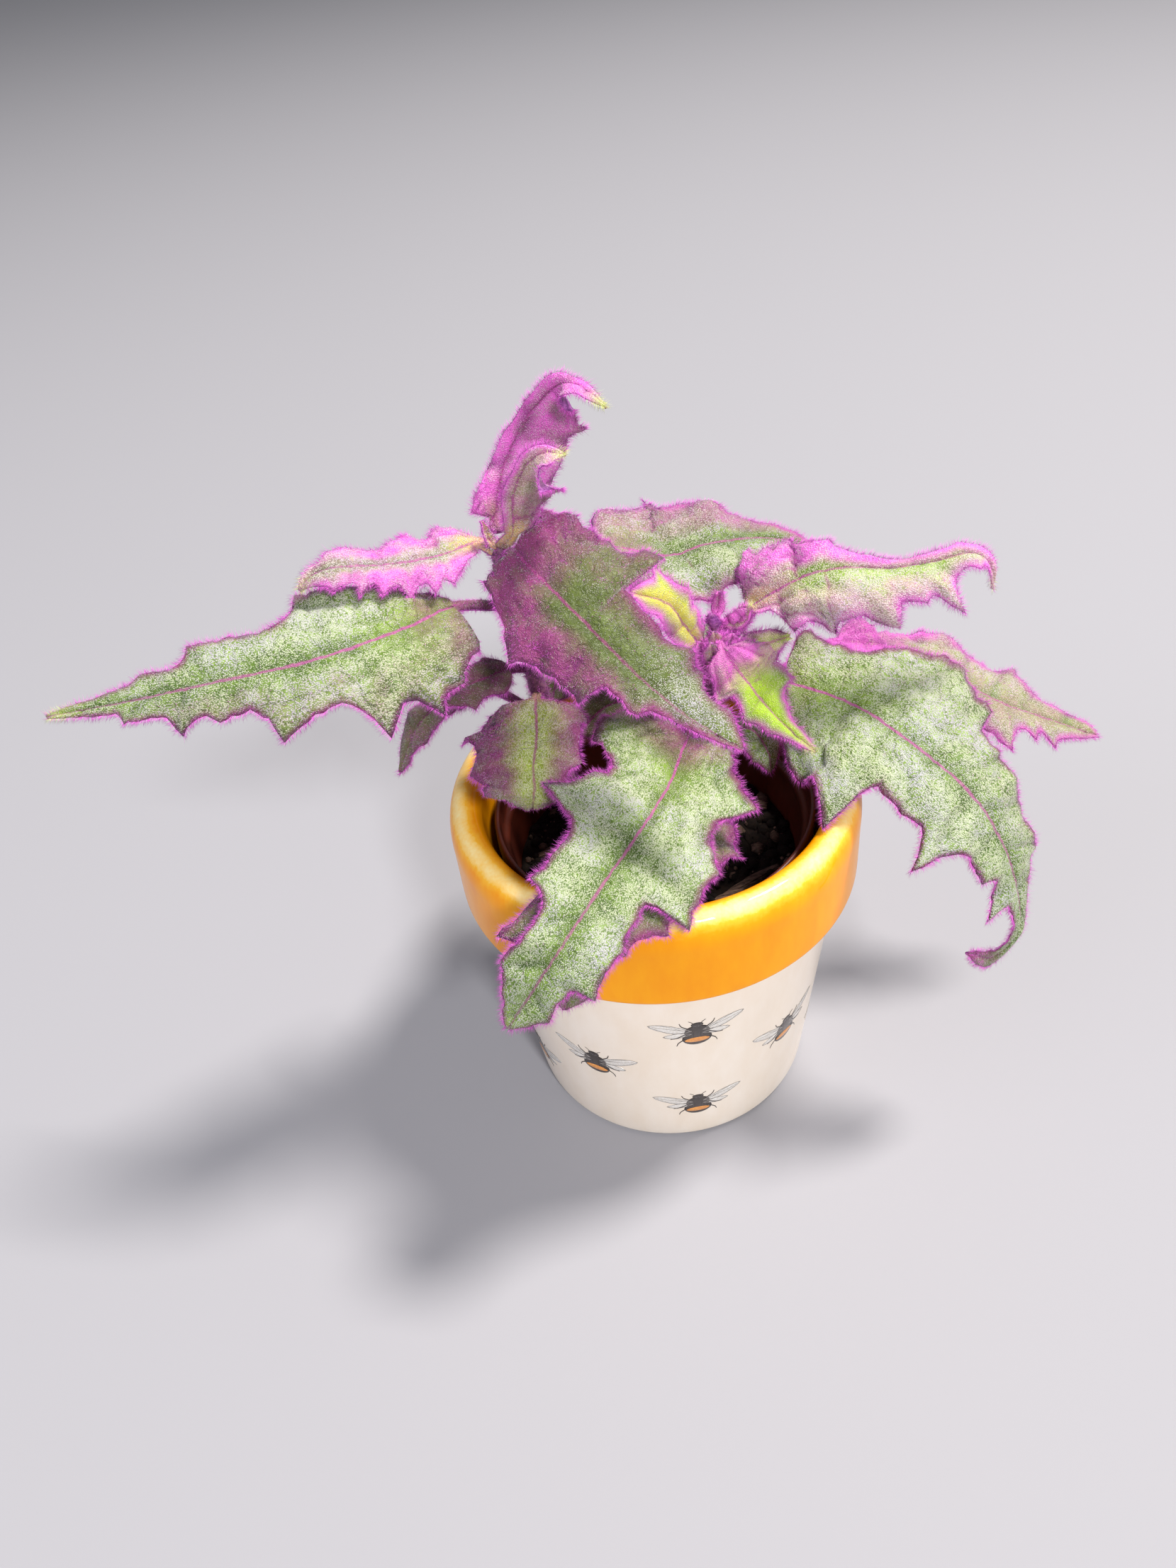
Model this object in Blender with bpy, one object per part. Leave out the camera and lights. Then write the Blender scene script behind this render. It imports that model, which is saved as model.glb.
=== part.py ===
"""Purple passion plant in a nursery pot that stands inside a glazed ceramic pot.

Lengths in the tables are millimetres; the models are in metres, +Z up, the ceramic pot standing on z = 0.
"""
import bmesh
import bpy
import numpy as np
from mathutils import Vector, noise

MM = 0.001

# Ceramic pot
POT_HEIGHT = 108.0
COLLAR_RADIUS = 56.0
COLLAR_BOTTOM = 79.6
FOOT_RADIUS = 43.0
POT_FLOOR = 7.0
POT_SIDES = 44

# Plastic nursery pot inside it, 9 cm across its lip
NURSERY_BOTTOM = 7.3
NURSERY_TOP = 99.4
NURSERY_SHOULDER = 92.0
NURSERY_RADIUS = 44.0
NURSERY_SHOULDER_RADIUS = 41.8
NURSERY_FOOT_RADIUS = 31.0
NURSERY_WALL = 1.0
NURSERY_SIDES = 32

# Soil
SOIL_LEVEL = 79.0
SOIL_GAP = 0.3
SOIL_RELIEF = 1.6
SOIL_SIDES = 32
SOIL_RINGS = 5

# Stems
STEM_SIDES = 10
STEM_RINGS = 11
HOLE_GAP = 0.3

# Leaves; long ones have more rows and columns than short ones
BLADE_HALF_THICKNESS = 0.34
MIDRIB_DEPTH = 0.8
STALK_HALF_THICKNESS = 1.0
EDGE_HALF_THICKNESS = 0.3
LONG_LEAF = 55.0
YOUNG_LEAVES = ("leaf_top", "leaf_top_small", "leaf_upper_left", "leaf_upper_right")

# Leaf table, in millimetres. Every leaf leaves its stem at the given height.
# rib: places the midrib passes through after the stalk's foot; the blade begins at the first one
# face: direction the upper side looks, from the blade's base to its tip
# left, right: toothed margin seen from above, (share of the blade, distance from the midrib)
# bend: slope in degrees near the midrib, its growth outwards and the extra curl of the teeth, left then right
# sweep: how far the margin runs ahead of the midrib, at the base and beyond the middle
# wave: height of the ruffles and how many there are; half: usual half width
LEAVES = {
    "leaf_long_left": dict(
        stem="left", height=160, half=24, sweep=(-0.4, 0.5), wave=(1.2, 4), stalk=1.3,
        rib=[(-43.5, -2, 168.5), (-54, -10, 169.5), (-75, -18, 169), (-101, -18, 166), (-120, -14, 161.5),
             (-143, -8, 156)],
        face=[(0, -0.45, 0.9), (0, -0.5, 0.85), (0, -0.5, 0.85)], bend=(10, 25, 60, 0, 10, 0),
        left=[(0.03, 12.5), (0.08, 13.5), (0.12, 17.5), (0.14, 17), (0.16, 21.5), (0.20, 16), (0.25, 22.5),
              (0.30, 11.5), (0.40, 16), (0.46, 8), (0.52, 9), (0.56, 7), (0.60, 10.5), (0.67, 5), (0.76, 5),
              (0.80, 2.5)],
        right=[(0.33, 19), (0.38, 11), (0.57, 10.5), (0.62, 5.5), (0.72, 5.5), (0.78, 3.5)]),
    "leaf_centre": dict(
        stem="left", height=173, half=24, sweep=(-0.8, 0.5), wave=(1.2, 3), stalk=1.3,
        rib=[(-27.5, 2, 178.5), (-22.5, -6, 176), (-13, -20, 170.5), (-4, -29, 162.5), (6, -37, 155),
             (17, -44, 149.5)],
        face=[(0, -0.5, 0.85), (0.1, -0.5, 0.85), (0.3, -0.4, 0.85)], bend=(0, 15, 0, 5, 35, 0),
        left=[(0.06, 15), (0.14, 16), (0.25, 20), (0.28, 20), (0.35, 26), (0.37, 12), (0.52, 12), (0.58, 14),
              (0.68, 11), (0.85, 7)],
        right=[(0.10, 10), (0.18, 12), (0.32, 19), (0.37, 14), (0.49, 13.5), (0.53, 7.5), (0.64, 7), (0.70, 4),
               (0.88, 2)]),
    "leaf_front": dict(
        stem="right", height=121, half=26, sweep=(-0.8, 0.5), wave=(1.2, 3), stalk=1.3,
        rib=[(9.5, -5, 122.5), (3, -18, 119.5), (-7, -35, 119.5), (-17, -50, 119), (-26.5, -61, 114.5),
             (-34, -65, 106), (-43, -67, 93)],
        face=[(0, -0.5, 0.85), (0.05, -0.55, 0.85), (0, -0.7, 0.7), (-0.2, -0.9, 0.4)],
        bend=(-4, 12, 0, -8, 10, 0),
        left=[(0.02, 12), (0.12, 13.5), (0.21, 23), (0.25, 14.5), (0.355, 21.5), (0.39, 20.5), (0.46, 22.5),
              (0.49, 10.5), (0.61, 12.5), (0.66, 11.5), (0.73, 13), (0.78, 7), (0.88, 6.5)],
        right=[(0.185, 22.5), (0.245, 14), (0.375, 26.5), (0.465, 13), (0.57, 14.5), (0.63, 8.5), (0.79, 10),
               (0.86, 6.5)]),
    "leaf_right": dict(
        stem="right", height=130, half=26, sweep=(-0.2, 0.5), wave=(1.2, 3), stalk=1.4,
        rib=[(36.5, 5, 130), (51.5, -4, 127.5), (60.5, -14, 125), (74.5, -29, 116.5), (83, -35, 103.5),
             (88.5, -38, 88), (90.5, -40, 73.5), (84, -42, 66), (75, -46, 73.5)],
        face=[(0, -0.6, 0.8), (0.1, -0.6, 0.8), (0.3, -0.7, 0.6), (0.6, -0.7, 0.3), (0.7, -0.7, 0.0)],
        bend=(0, 20, 0, 0, 24, 0),
        left=[(0.04, 16), (0.10, 14), (0.20, 27.5), (0.25, 28), (0.335, 22), (0.36, 15), (0.62, 10), (0.78, 3),
              (0.9, 3)],
        right=[(0.14, 24), (0.18, 22), (0.25, 31.5), (0.29, 14.5), (0.37, 16), (0.395, 15), (0.43, 24),
               (0.50, 11.5), (0.58, 10.5), (0.61, 6.5), (0.67, 12), (0.71, 4.5), (0.85, 3)]),
    "leaf_left_rim": dict(
        stem="left", height=134, half=20, sweep=(-0.3, 0.4), wave=(1.0, 3), stalk=1.2,
        rib=[(-28, 4, 134.5), (-28.5, -8, 133), (-30, -17, 130), (-30.5, -22, 126.5), (-31.5, -21, 121),
             (-32.5, -16, 115)],
        face=[(0, 0, 1), (0, -0.2, 1), (0, -0.9, 0.3), (0, -1, -0.3)], bend=(5, 35, 0, 5, 25, 0),
        left=[(0.18, 13.5), (0.27, 10.5), (0.40, 12), (0.55, 8), (0.70, 8), (0.80, 4)],
        right=[(0.12, 14), (0.15, 14), (0.22, 21), (0.30, 16), (0.45, 17), (0.55, 12), (0.70, 12), (0.80, 5)]),
    "leaf_upper_left": dict(
        stem="left", height=175, half=9, sweep=(-0.1, 0.3), wave=(1.2, 4), stalk=1.2,
        rib=[(-36.5, 9, 178.5), (-45, 5, 178.5), (-56.5, 1, 180), (-67, -2, 182.5), (-73, -3, 182),
             (-77, -4, 179)],
        face=[(0, -0.3, 0.95), (0, -0.4, 0.9), (-0.1, -0.4, 0.9)], bend=(0, 30, 60, 0, 20, 0),
        left=[(0.07, 4), (0.16, 5.5), (0.20, 8.5), (0.24, 7), (0.28, 10), (0.32, 6.5), (0.35, 6.5), (0.39, 9.8),
              (0.44, 5.5), (0.51, 8), (0.56, 4.5), (0.61, 7), (0.66, 4.5), (0.76, 6), (0.83, 4)],
        right=[(0.03, 4), (0.07, 9), (0.17, 9), (0.23, 6), (0.31, 10), (0.45, 6), (0.56, 4.5), (0.66, 6),
               (0.76, 5), (0.86, 2.5)]),
    "leaf_top": dict(
        stem="left", height=176, gap=-0.4, half=12, sweep=(-0.2, 0.4), wave=(0.8, 3), stalk=1.2,
        rib=[(-31, 14, 182), (-28.5, 18, 190.5), (-22, 21, 200.5), (-14, 19, 209), (-8.5, 14, 211),
             (-3, 9, 207.5)],
        face=[(0.3, -0.9, 0.3), (0.3, -0.9, 0.2), (0.5, -0.6, 0.6)], bend=(20, 20, 0, 0, 12, 25),
        left=[(0.03, 6.5), (0.09, 5.5), (0.16, 4), (0.30, 3), (0.50, 2.5), (0.70, 2.5)],
        right=[(0.10, 7), (0.20, 13), (0.36, 14.5), (0.42, 12.5), (0.50, 13.5), (0.56, 8.5), (0.68, 6),
               (0.78, 4), (0.88, 2.5)]),
    "leaf_top_small": dict(
        stem="left", height=176.2, half=9, sweep=(0, 0.3), wave=(0.6, 3), stalk=1.1,
        rib=[(-27.5, 5, 182), (-26, 2, 192), (-23, 0, 199), (-18.5, -2, 203.5), (-13.5, -4, 203.5)],
        face=[(0.4, -0.9, 0.3), (0.4, -0.8, 0.5), (0.3, -0.5, 0.8)], bend=(0, 10, 0, -15, 10, 45),
        left=[(0.10, 2.5), (0.30, 3), (0.50, 2.5), (0.75, 2)],
        right=[(0.08, 6), (0.14, 7), (0.20, 6), (0.28, 9.5), (0.34, 8), (0.43, 10.5), (0.50, 9), (0.58, 9.5),
               (0.65, 7), (0.74, 10), (0.80, 5), (0.88, 5), (0.94, 2)]),
    "leaf_back_centre": dict(
        stem="left", height=165, half=18, sweep=(-0.1, 0.4), wave=(1.2, 3), stalk=1.3,
        rib=[(-6, 25, 164), (9.5, 27, 158.5), (23.5, 29, 159.5), (40.5, 31, 157), (57.5, 31, 148.5)],
        face=[(0, -0.2, 1), (0, -0.3, 1), (0.2, -0.4, 0.9)], bend=(0, 0, 0, 0, 40, 0),
        left=[(0.08, 16), (0.12, 16), (0.21, 23), (0.32, 15), (0.44, 17), (0.54, 8), (0.70, 4)],
        right=[(0.15, 14), (0.31, 16), (0.46, 13), (0.64, 9), (0.80, 5)]),
    "leaf_upper_right": dict(
        stem="right", height=142.5, half=14, sweep=(-0.1, 0.5), wave=(0.8, 3), stalk=1.2,
        rib=[(28, 8, 151.5), (35.5, 6, 157.5), (43.5, 4, 162), (51.5, 2, 163.5), (62, 1, 162.5), (72, 1, 163),
             (80.5, 1, 164), (85, 0, 161), (86.5, -1, 154.5)],
        face=[(0, -0.4, 0.9), (0, -0.5, 0.85), (0, -0.5, 0.8), (0.5, -0.5, 0.8)], bend=(0, 10, 60, 0, 35, 60),
        left=[(0.02, 12.5), (0.06, 15.5), (0.12, 13), (0.19, 13), (0.25, 7.5), (0.31, 7.5), (0.40, 3.5),
              (0.55, 2), (0.66, 2), (0.76, 3), (0.86, 2)],
        right=[(0.07, 3.5), (0.13, 11.5), (0.18, 11), (0.27, 18), (0.33, 13), (0.40, 12), (0.47, 18),
               (0.51, 9), (0.57, 10), (0.60, 8.5), (0.65, 14), (0.70, 6), (0.77, 3.5), (0.84, 4), (0.88, 2)]),
    "leaf_far_right": dict(
        stem="right", height=123, half=18, sweep=(-0.1, 0.5), wave=(1.0, 3), stalk=1.3,
        rib=[(42, 17, 126), (57, 26, 125.5), (80.5, 26, 117.5), (101.5, 22, 102), (117.5, 18, 95),
             (132.5, 16, 88)], first=1,
        face=[(0, -0.3, 0.95), (0, -0.3, 0.95), (0.2, -0.3, 0.9)], bend=(0, 10, 0, 0, 25, 0),
        left=[(0.09, 8), (0.16, 4), (0.33, 10), (0.46, 9.5), (0.59, 14), (0.80, 5.5), (0.93, 4)],
        right=[(0.15, 14), (0.39, 12), (0.55, 11), (0.62, 14), (0.675, 6.5), (0.72, 8.5), (0.75, 5.5),
               (0.785, 9), (0.83, 5)]),
    "leaf_young_green": dict(
        stem="right", height=144, half=12, sweep=(0, 0.4), wave=(0.6, 3), stalk=1.1,
        rib=[(20.2, 0.5, 145.5), (26, -3, 136.5), (32.3, -10, 129.5), (40.5, -16, 122.5)],
        face=[(0, -0.7, 0.7), (0, -0.6, 0.8), (0.2, -0.6, 0.7)], bend=(0, 10, 0, 0, 20, 0),
        left=[(0.04, 6), (0.10, 8), (0.21, 17), (0.28, 9.5), (0.40, 10.5), (0.46, 6.5), (0.56, 4.5), (0.80, 2)],
        right=[(0.06, 6), (0.22, 9.5), (0.29, 5), (0.45, 7), (0.63, 4), (0.83, 2)]),
    "leaf_young_yellow": dict(
        stem="right", height=142.5, half=9, sweep=(-0.1, 0.5), wave=(0.6, 3), stalk=1.1,
        rib=[(15.5, 6, 144), (11, 2.5, 153), (7, 1, 160.5), (-1.8, 0.5, 165)],
        face=[(0, -0.7, 0.7), (0, -0.6, 0.8), (-0.2, -0.6, 0.7)], bend=(0, 10, 0, 0, 20, 0),
        left=[(0.13, 5.5), (0.34, 5), (0.58, 5), (0.79, 3.5)],
        right=[(0.09, 4), (0.18, 4), (0.30, 6.5), (0.36, 5.5), (0.47, 7), (0.56, 5.5), (0.68, 8.5), (0.76, 4.5)]),
    "leaf_under_front": dict(
        stem="right", height=99, half=22, sweep=(-0.2, 0.4), wave=(1.0, 3), stalk=1.3,
        rib=[(9.5, -8, 101.5), (-6.5, -33, 111), (-18.5, -52, 113), (-25, -60, 106), (-29.5, -62, 91)],
        face=[(0, -0.4, 0.9), (0.05, -0.5, 0.85), (0, -0.8, 0.6), (0, -1, 0.1)], bend=(-15, 5, 0, 0, 20, 0),
        left=[(0.12, 15.5), (0.17, 20), (0.30, 14), (0.40, 17), (0.47, 14), (0.54, 17), (0.69, 10), (0.80, 6),
              (0.91, 5)],
        right=[(0.15, 8), (0.39, 10), (0.58, 15), (0.63, 14), (0.72, 19), (0.77, 12), (0.88, 6)]),
    "leaf_low_left": dict(
        stem="left", height=124, half=14, sweep=(-0.1, 0.4), wave=(1.0, 3), stalk=1.2,
        rib=[(-38, 10, 134.5), (-48.5, 13, 134), (-61, 16, 122.5), (-70, 18, 105)],
        face=[(0, -0.3, 0.9), (-0.3, -0.5, 0.8), (-0.9, -0.4, 0.2)], bend=(0, 20, 0, 0, 20, 0),
        left=[(0.25, 6), (0.40, 5), (0.55, 6), (0.84, 3)],
        right=[(0.25, 6), (0.45, 4.5), (0.60, 6.5), (0.84, 3.5)]),
    "leaf_inner_left": dict(
        stem="left", height=141, half=10, sweep=(-0.1, 0.4), wave=(0.8, 2), stalk=1.1,
        rib=[(-33.5, 7, 143), (-39, 4, 143.5), (-46, 1, 143), (-53, 0, 139)],
        face=[(0, -0.5, 0.9), (0, -0.5, 0.9)], bend=(0, 20, 0, 0, 20, 0),
        left=[(0.20, 6), (0.30, 5), (0.50, 7), (0.65, 4)],
        right=[(0.20, 6), (0.35, 5), (0.55, 6), (0.70, 4)]),
    "leaf_inner_back": dict(
        stem="left", height=112, half=12, sweep=(-0.1, 0.4), wave=(0.8, 3), stalk=1.2,
        rib=[(-18, 11, 117), (-9, 12, 124), (2, 14, 123), (9, 18, 114)],
        face=[(0, -0.5, 0.9), (0, -0.5, 0.9)], bend=(0, 20, 0, 0, 20, 0),
        left=[(0.20, 8), (0.30, 6), (0.50, 9), (0.62, 6), (0.75, 6)],
        right=[(0.20, 8), (0.32, 6), (0.52, 8), (0.65, 5), (0.78, 5)]),
    "leaf_low_right": dict(
        stem="right", height=109, half=8, sweep=(-0.1, 0.4), wave=(0.6, 2), stalk=1.1,
        rib=[(23, 6, 116), (28, 1, 118), (31.5, -1, 112), (32.5, -1.5, 105)],
        face=[(0, -0.6, 0.8), (0.3, -0.8, 0.5), (0.5, -0.9, 0)], bend=(0, 20, 0, 0, 20, 0),
        left=[(0.30, 5), (0.60, 5)],
        right=[(0.30, 5), (0.60, 5)]),
    "leaf_back_left": dict(
        stem="left", height=118, half=14, sweep=(-0.2, 0.5), wave=(1.2, 3), stalk=1.3,
        rib=[(-24, 20, 122), (-19, 38, 129), (-15, 58, 123), (-12, 74, 106)],
        face=[(0, 0, 1), (0, 0.3, 1), (0, 0.6, 0.8)], bend=(0, 20, 0, 0, 20, 0),
        left=[(0.12, 9), (0.22, 7), (0.34, 13), (0.43, 8), (0.56, 11), (0.64, 6), (0.78, 6.5)],
        right=[(0.16, 10), (0.28, 7), (0.42, 13), (0.52, 8), (0.66, 9), (0.74, 5)]),
    "leaf_back_right": dict(
        stem="right", height=112, half=13, sweep=(-0.2, 0.5), wave=(1.2, 3), stalk=1.3,
        rib=[(20, 22, 114), (25, 40, 120), (24, 58, 115), (20, 74, 100)],
        face=[(0, 0, 1), (0, 0.3, 1), (0, 0.6, 0.8)], bend=(0, 20, 0, 0, 20, 0),
        left=[(0.14, 9), (0.25, 7), (0.38, 12), (0.47, 7.5), (0.60, 10), (0.70, 5.5)],
        right=[(0.12, 9), (0.20, 7), (0.32, 12), (0.42, 8), (0.55, 10.5), (0.64, 6), (0.78, 5.5)]),
}

# Stems, in millimetres: places each one passes through and its thickness low down and at the tip.
STEMS = {
    "left": dict(route=[(-15, 5, 62), (-18, 6, 80), (-24, 8, 112), (-28.5, 9, 148), (-31, 9, 172),
                        (-31.6, 9, 178.5)], radius=(2.7, 1.7)),
    "right": dict(route=[(6, 10, 62), (10, 11, 80), (16, 12.5, 104), (19.5, 12, 130), (20, 10.5, 146)],
                  radius=(2.5, 1.7)),
}
STALK_GAP = 0.3


def unit(vectors):
    return vectors / np.linalg.norm(vectors, axis=-1, keepdims=True)


def smooth_route(places, steps=40):
    """Smooth line through the places, with the distance run up to each of its points."""
    places = np.array(places, float)
    places = np.vstack([2 * places[0] - places[1], places, 2 * places[-1] - places[-2]])
    t = np.arange(steps)[:, None] / steps
    line = [b + 0.5 * ((c - a) * t + (2 * a - 5 * b + 4 * c - d) * t ** 2 + (3 * b - a - 3 * c + d) * t ** 3)
            for a, b, c, d in zip(places, places[1:], places[2:], places[3:])]
    line = np.vstack(line + [places[-2:-1]])
    run = np.r_[0, np.cumsum(np.linalg.norm(np.diff(line, axis=0), axis=1))]
    return line, run


def read_at(table, run, place):
    return np.stack([np.interp(place, run, table[:, k]) for k in range(table.shape[1])], -1)


def stem_at(stem, height):
    """Centre and radius of a stem at a height."""
    line, run = smooth_route(stem["route"])
    share = np.interp(height, line[:, 2], run / run[-1])
    low, high = stem["radius"]
    return read_at(line, run, share * run[-1]), low + (high - low) * share


class LeafSheet:
    """Curved surface of one leaf. Flat places (x along the midrib from the blade's base, y to the left, in mm)
    are carried to points in space."""

    def __init__(self, leaf):
        self.leaf = leaf
        rib = [np.array(p, float) for p in leaf["rib"]]
        centre, radius = stem_at(STEMS[leaf["stem"]], leaf["height"])
        upright = unit(stem_at(STEMS[leaf["stem"]], leaf["height"] + 1)[0] - centre)
        away = unit(rib[0] - centre)
        slant = away @ upright
        clear = radius + leaf.get("gap", STALK_GAP) + leaf["stalk"] * abs(slant)
        foot = centre + away * clear / np.sqrt(1 - slant ** 2)
        self.line, self.run = smooth_route([foot] + rib)
        self.start = self.run[40 * (1 + leaf.get("first", 0))]
        self.length = self.run[-1] - self.start
        self.ahead = unit(np.gradient(self.line, self.run, axis=0))
        share = (self.run - self.start) / self.length
        faces = np.array(leaf["face"], float)
        face = read_at(faces, np.linspace(0, 1, len(faces)), share)
        self.face = unit(face - (face * self.ahead).sum(1, keepdims=True) * self.ahead)
        self.left = np.cross(self.face, self.ahead)

    def point(self, x, y):
        x, y = np.broadcast_arrays(np.asarray(x, float), np.asarray(y, float))
        place = x + self.start
        beyond = place - np.clip(place, 0, self.run[-1])
        centre = read_at(self.line, self.run, place) + read_at(self.ahead, self.run, place) * beyond[..., None]
        up = read_at(self.face, self.run, place)
        side = read_at(self.left, self.run, place)
        out = np.abs(y) / self.leaf["half"]
        bend = self.leaf["bend"]
        fold, droop, curl = (np.where(y > 0, a, b) for a, b in zip(bend[:3], bend[3:]))
        across = np.zeros(y.shape)
        down = np.zeros(y.shape)
        parts = 12
        for i in range(parts):
            part = out * (i + 0.5) / parts
            slope = np.radians(fold + droop * part + 4 * curl * np.clip(part - 0.7, 0, None) ** 2)
            across += np.cos(slope) / parts
            down += np.sin(slope) / parts
        height, count = self.leaf["wave"]
        turn = 2 * np.pi * (count * x / self.length + np.where(y > 0, 0.2, 0.55))
        ruffle = height * np.clip(out, 0, 1.2) ** 2 * np.sin(turn) * np.clip(x / (0.12 * self.length), 0, 1)
        return centre + side * (y * across)[..., None] - up * (np.abs(y) * down - ruffle)[..., None]

    def margin(self, share, side):
        """Distance from the midrib to the toothed margin."""
        stalk = self.leaf["stalk"]
        marks = [(0.0, stalk)] + self.leaf[side] + [(1.0, 0.4)]
        width = np.full(share.shape, stalk)
        for i, ((a, p), (b, q)) in enumerate(zip(marks, marks[1:])):
            t = np.clip((share - a) / (b - a), 0, 1)
            if i == 0:
                piece = p + (q - p) * np.sin(np.pi / 2 * t) ** 0.9
            elif i == len(marks) - 2:
                piece = q + (p - q) * (1 - t) ** 0.9
            elif q > p:
                piece = p + (q - p) * t ** 1.8
            else:
                piece = q + (p - q) * (1 - t) ** 1.8
            width = np.where((share >= a) & (share <= b), piece, width)
        return width

    def stations(self, count):
        """Shares of the blade at which rows are laid: every tooth and hollow, and even steps between."""
        marks = sorted({0.0, 1.0} | {m[0] for m in self.leaf["left"] + self.leaf["right"]})
        kept = [0.0]
        for mark in marks[1:]:
            if mark - kept[-1] > 0.008:
                kept.append(mark)
        rows = [a + (b - a) * i / n for a, b in zip(kept, kept[1:])
                for n in [max(1, round((b - a) * count))] for i in range(n)]
        return np.array(rows + [1.0])

    def rows(self, count, columns):
        """Flat places of all rows from the stalk's foot to the tip, and the share of the way to the margin."""
        share = self.stations(count)
        near, far = self.leaf["sweep"]
        sweep = (near + (far - near) * np.clip(share / 0.6, 0, 1))[:, None]
        out = np.linspace(-1, 1, 2 * columns + 1)[None]
        y = out * np.where(out > 0, self.margin(share, "left")[:, None], self.margin(share, "right")[:, None])
        x = share[:, None] * self.length + sweep * np.abs(y)
        steps = max(2, round(self.start / self.length * count * 0.5))
        stalk_x = -self.start * (1 - np.arange(steps)[:, None] / steps) + 0 * out
        stalk_y = out * self.leaf["stalk"] + 0 * stalk_x
        return np.vstack([stalk_x, x]), np.vstack([stalk_y, y]), steps


# Buds and leaflets at the growing tips, each fused with its stem.
TIP_LEAFLETS = [
    dict(stem="left", height=176.8, half=4, sweep=(0, 0.3), wave=(0.2, 1), stalk=0.9, gap=-2.6,
         rib=[(-32.6, 7.8, 178), (-33.4, 7.6, 181), (-34.0, 7.5, 184.5)],
         face=[(0.5, -0.8, 0.3), (0.6, -0.7, 0.4)], bend=(0, 20, 0, 0, 20, 0),
         left=[(0.3, 1.4), (0.6, 1.2)], right=[(0.3, 1.4), (0.6, 1.2)]),
    dict(stem="right", height=145, half=6, sweep=(0, 0.4), wave=(0.3, 2), stalk=0.9, gap=-2.6,
         rib=[(19.4, 7.8, 148), (18.8, 7.0, 150.5), (18.8, 6.4, 152.5)],
         face=[(0.3, 0.5, 0.5), (0.3, 0.6, 0.3)], bend=(0, 20, 0, 0, 20, 0),
         left=[(0.3, 2.2), (0.6, 1.5)], right=[(0.3, 2.2), (0.6, 1.5)]),
    dict(stem="right", height=145.4, half=6, sweep=(0, 0.4), wave=(0.3, 2), stalk=0.9, gap=-2.6,
         rib=[(22.5, 7, 148.5), (26, 5.2, 150), (28.3, 5.2, 154)],
         face=[(-0.5, -0.6, 0.6), (-0.7, -0.5, 0.3)], bend=(0, 20, 0, 0, 20, 0),
         left=[(0.3, 1.8), (0.6, 1.5)], right=[(0.3, 1.8), (0.6, 1.5)]),
    dict(stem="right", height=144.6, half=6, sweep=(0, 0.4), wave=(0.3, 2), stalk=0.9, gap=-2.6,
         rib=[(20.8, 13, 147.5), (21.5, 14.2, 150.5), (21.6, 14.0, 153.5)],
         face=[(0, -0.9, 0.3), (0, -0.9, 0.2)], bend=(0, 20, 0, 0, 20, 0),
         left=[(0.3, 2.0), (0.6, 1.5)], right=[(0.3, 2.0), (0.6, 1.5)]),
]

# Bark pieces lying on the soil: place, length, width, height, turn in degrees
BARK = [
    (17, -22, 9, 4, 3, 20), (24, -17, 19, 3, 2.6, 28), (4, -30, 8, 5, 3, -35), (-22, -22, 11, 5, 3, 70),
    (-30, 4, 8, 4, 3, 15), (30, 14, 9, 5, 3, -20), (-4, 28, 10, 4, 3, 40), (-8, -14, 7, 5, 3, 5),
]


def clear_scene():
    for old in list(bpy.data.objects):
        bpy.data.objects.remove(old, do_unlink=True)


def material(name, colour, roughness):
    made = bpy.data.materials.new(name)
    made.use_nodes = True
    shader = made.node_tree.nodes["Principled BSDF"]
    shader.inputs["Base Color"].default_value = (*colour, 1.0)
    shader.inputs["Roughness"].default_value = roughness
    return made


def finish_mesh(bm, name, surface):
    """Object from a bmesh given in millimetres."""
    bmesh.ops.recalc_face_normals(bm, faces=bm.faces)
    bmesh.ops.scale(bm, vec=Vector((MM, MM, MM)), verts=bm.verts)
    mesh = bpy.data.meshes.new(name)
    bm.to_mesh(mesh)
    bm.free()
    mesh.materials.append(surface)
    made = bpy.data.objects.new(name, mesh)
    bpy.context.scene.collection.objects.link(made)
    return made


def turned(name, profile, sides, surface, shape=None):
    """Closed body made by turning a profile, from the axis back to the axis, about the vertical."""
    bm = bmesh.new()
    spots = [bm.verts.new((r, 0, z)) for r, z in profile]
    edges = [bm.edges.new(pair) for pair in zip(spots, spots[1:])]
    bmesh.ops.spin(bm, geom=spots + edges, cent=(0, 0, 0), axis=(0, 0, 1), angle=2 * np.pi, steps=sides,
                   use_merge=True)
    bmesh.ops.remove_doubles(bm, verts=bm.verts, dist=0.001)
    if shape:
        shape(bm)
        bmesh.ops.triangulate(bm, faces=bm.faces)
    return finish_mesh(bm, name, surface)


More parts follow.
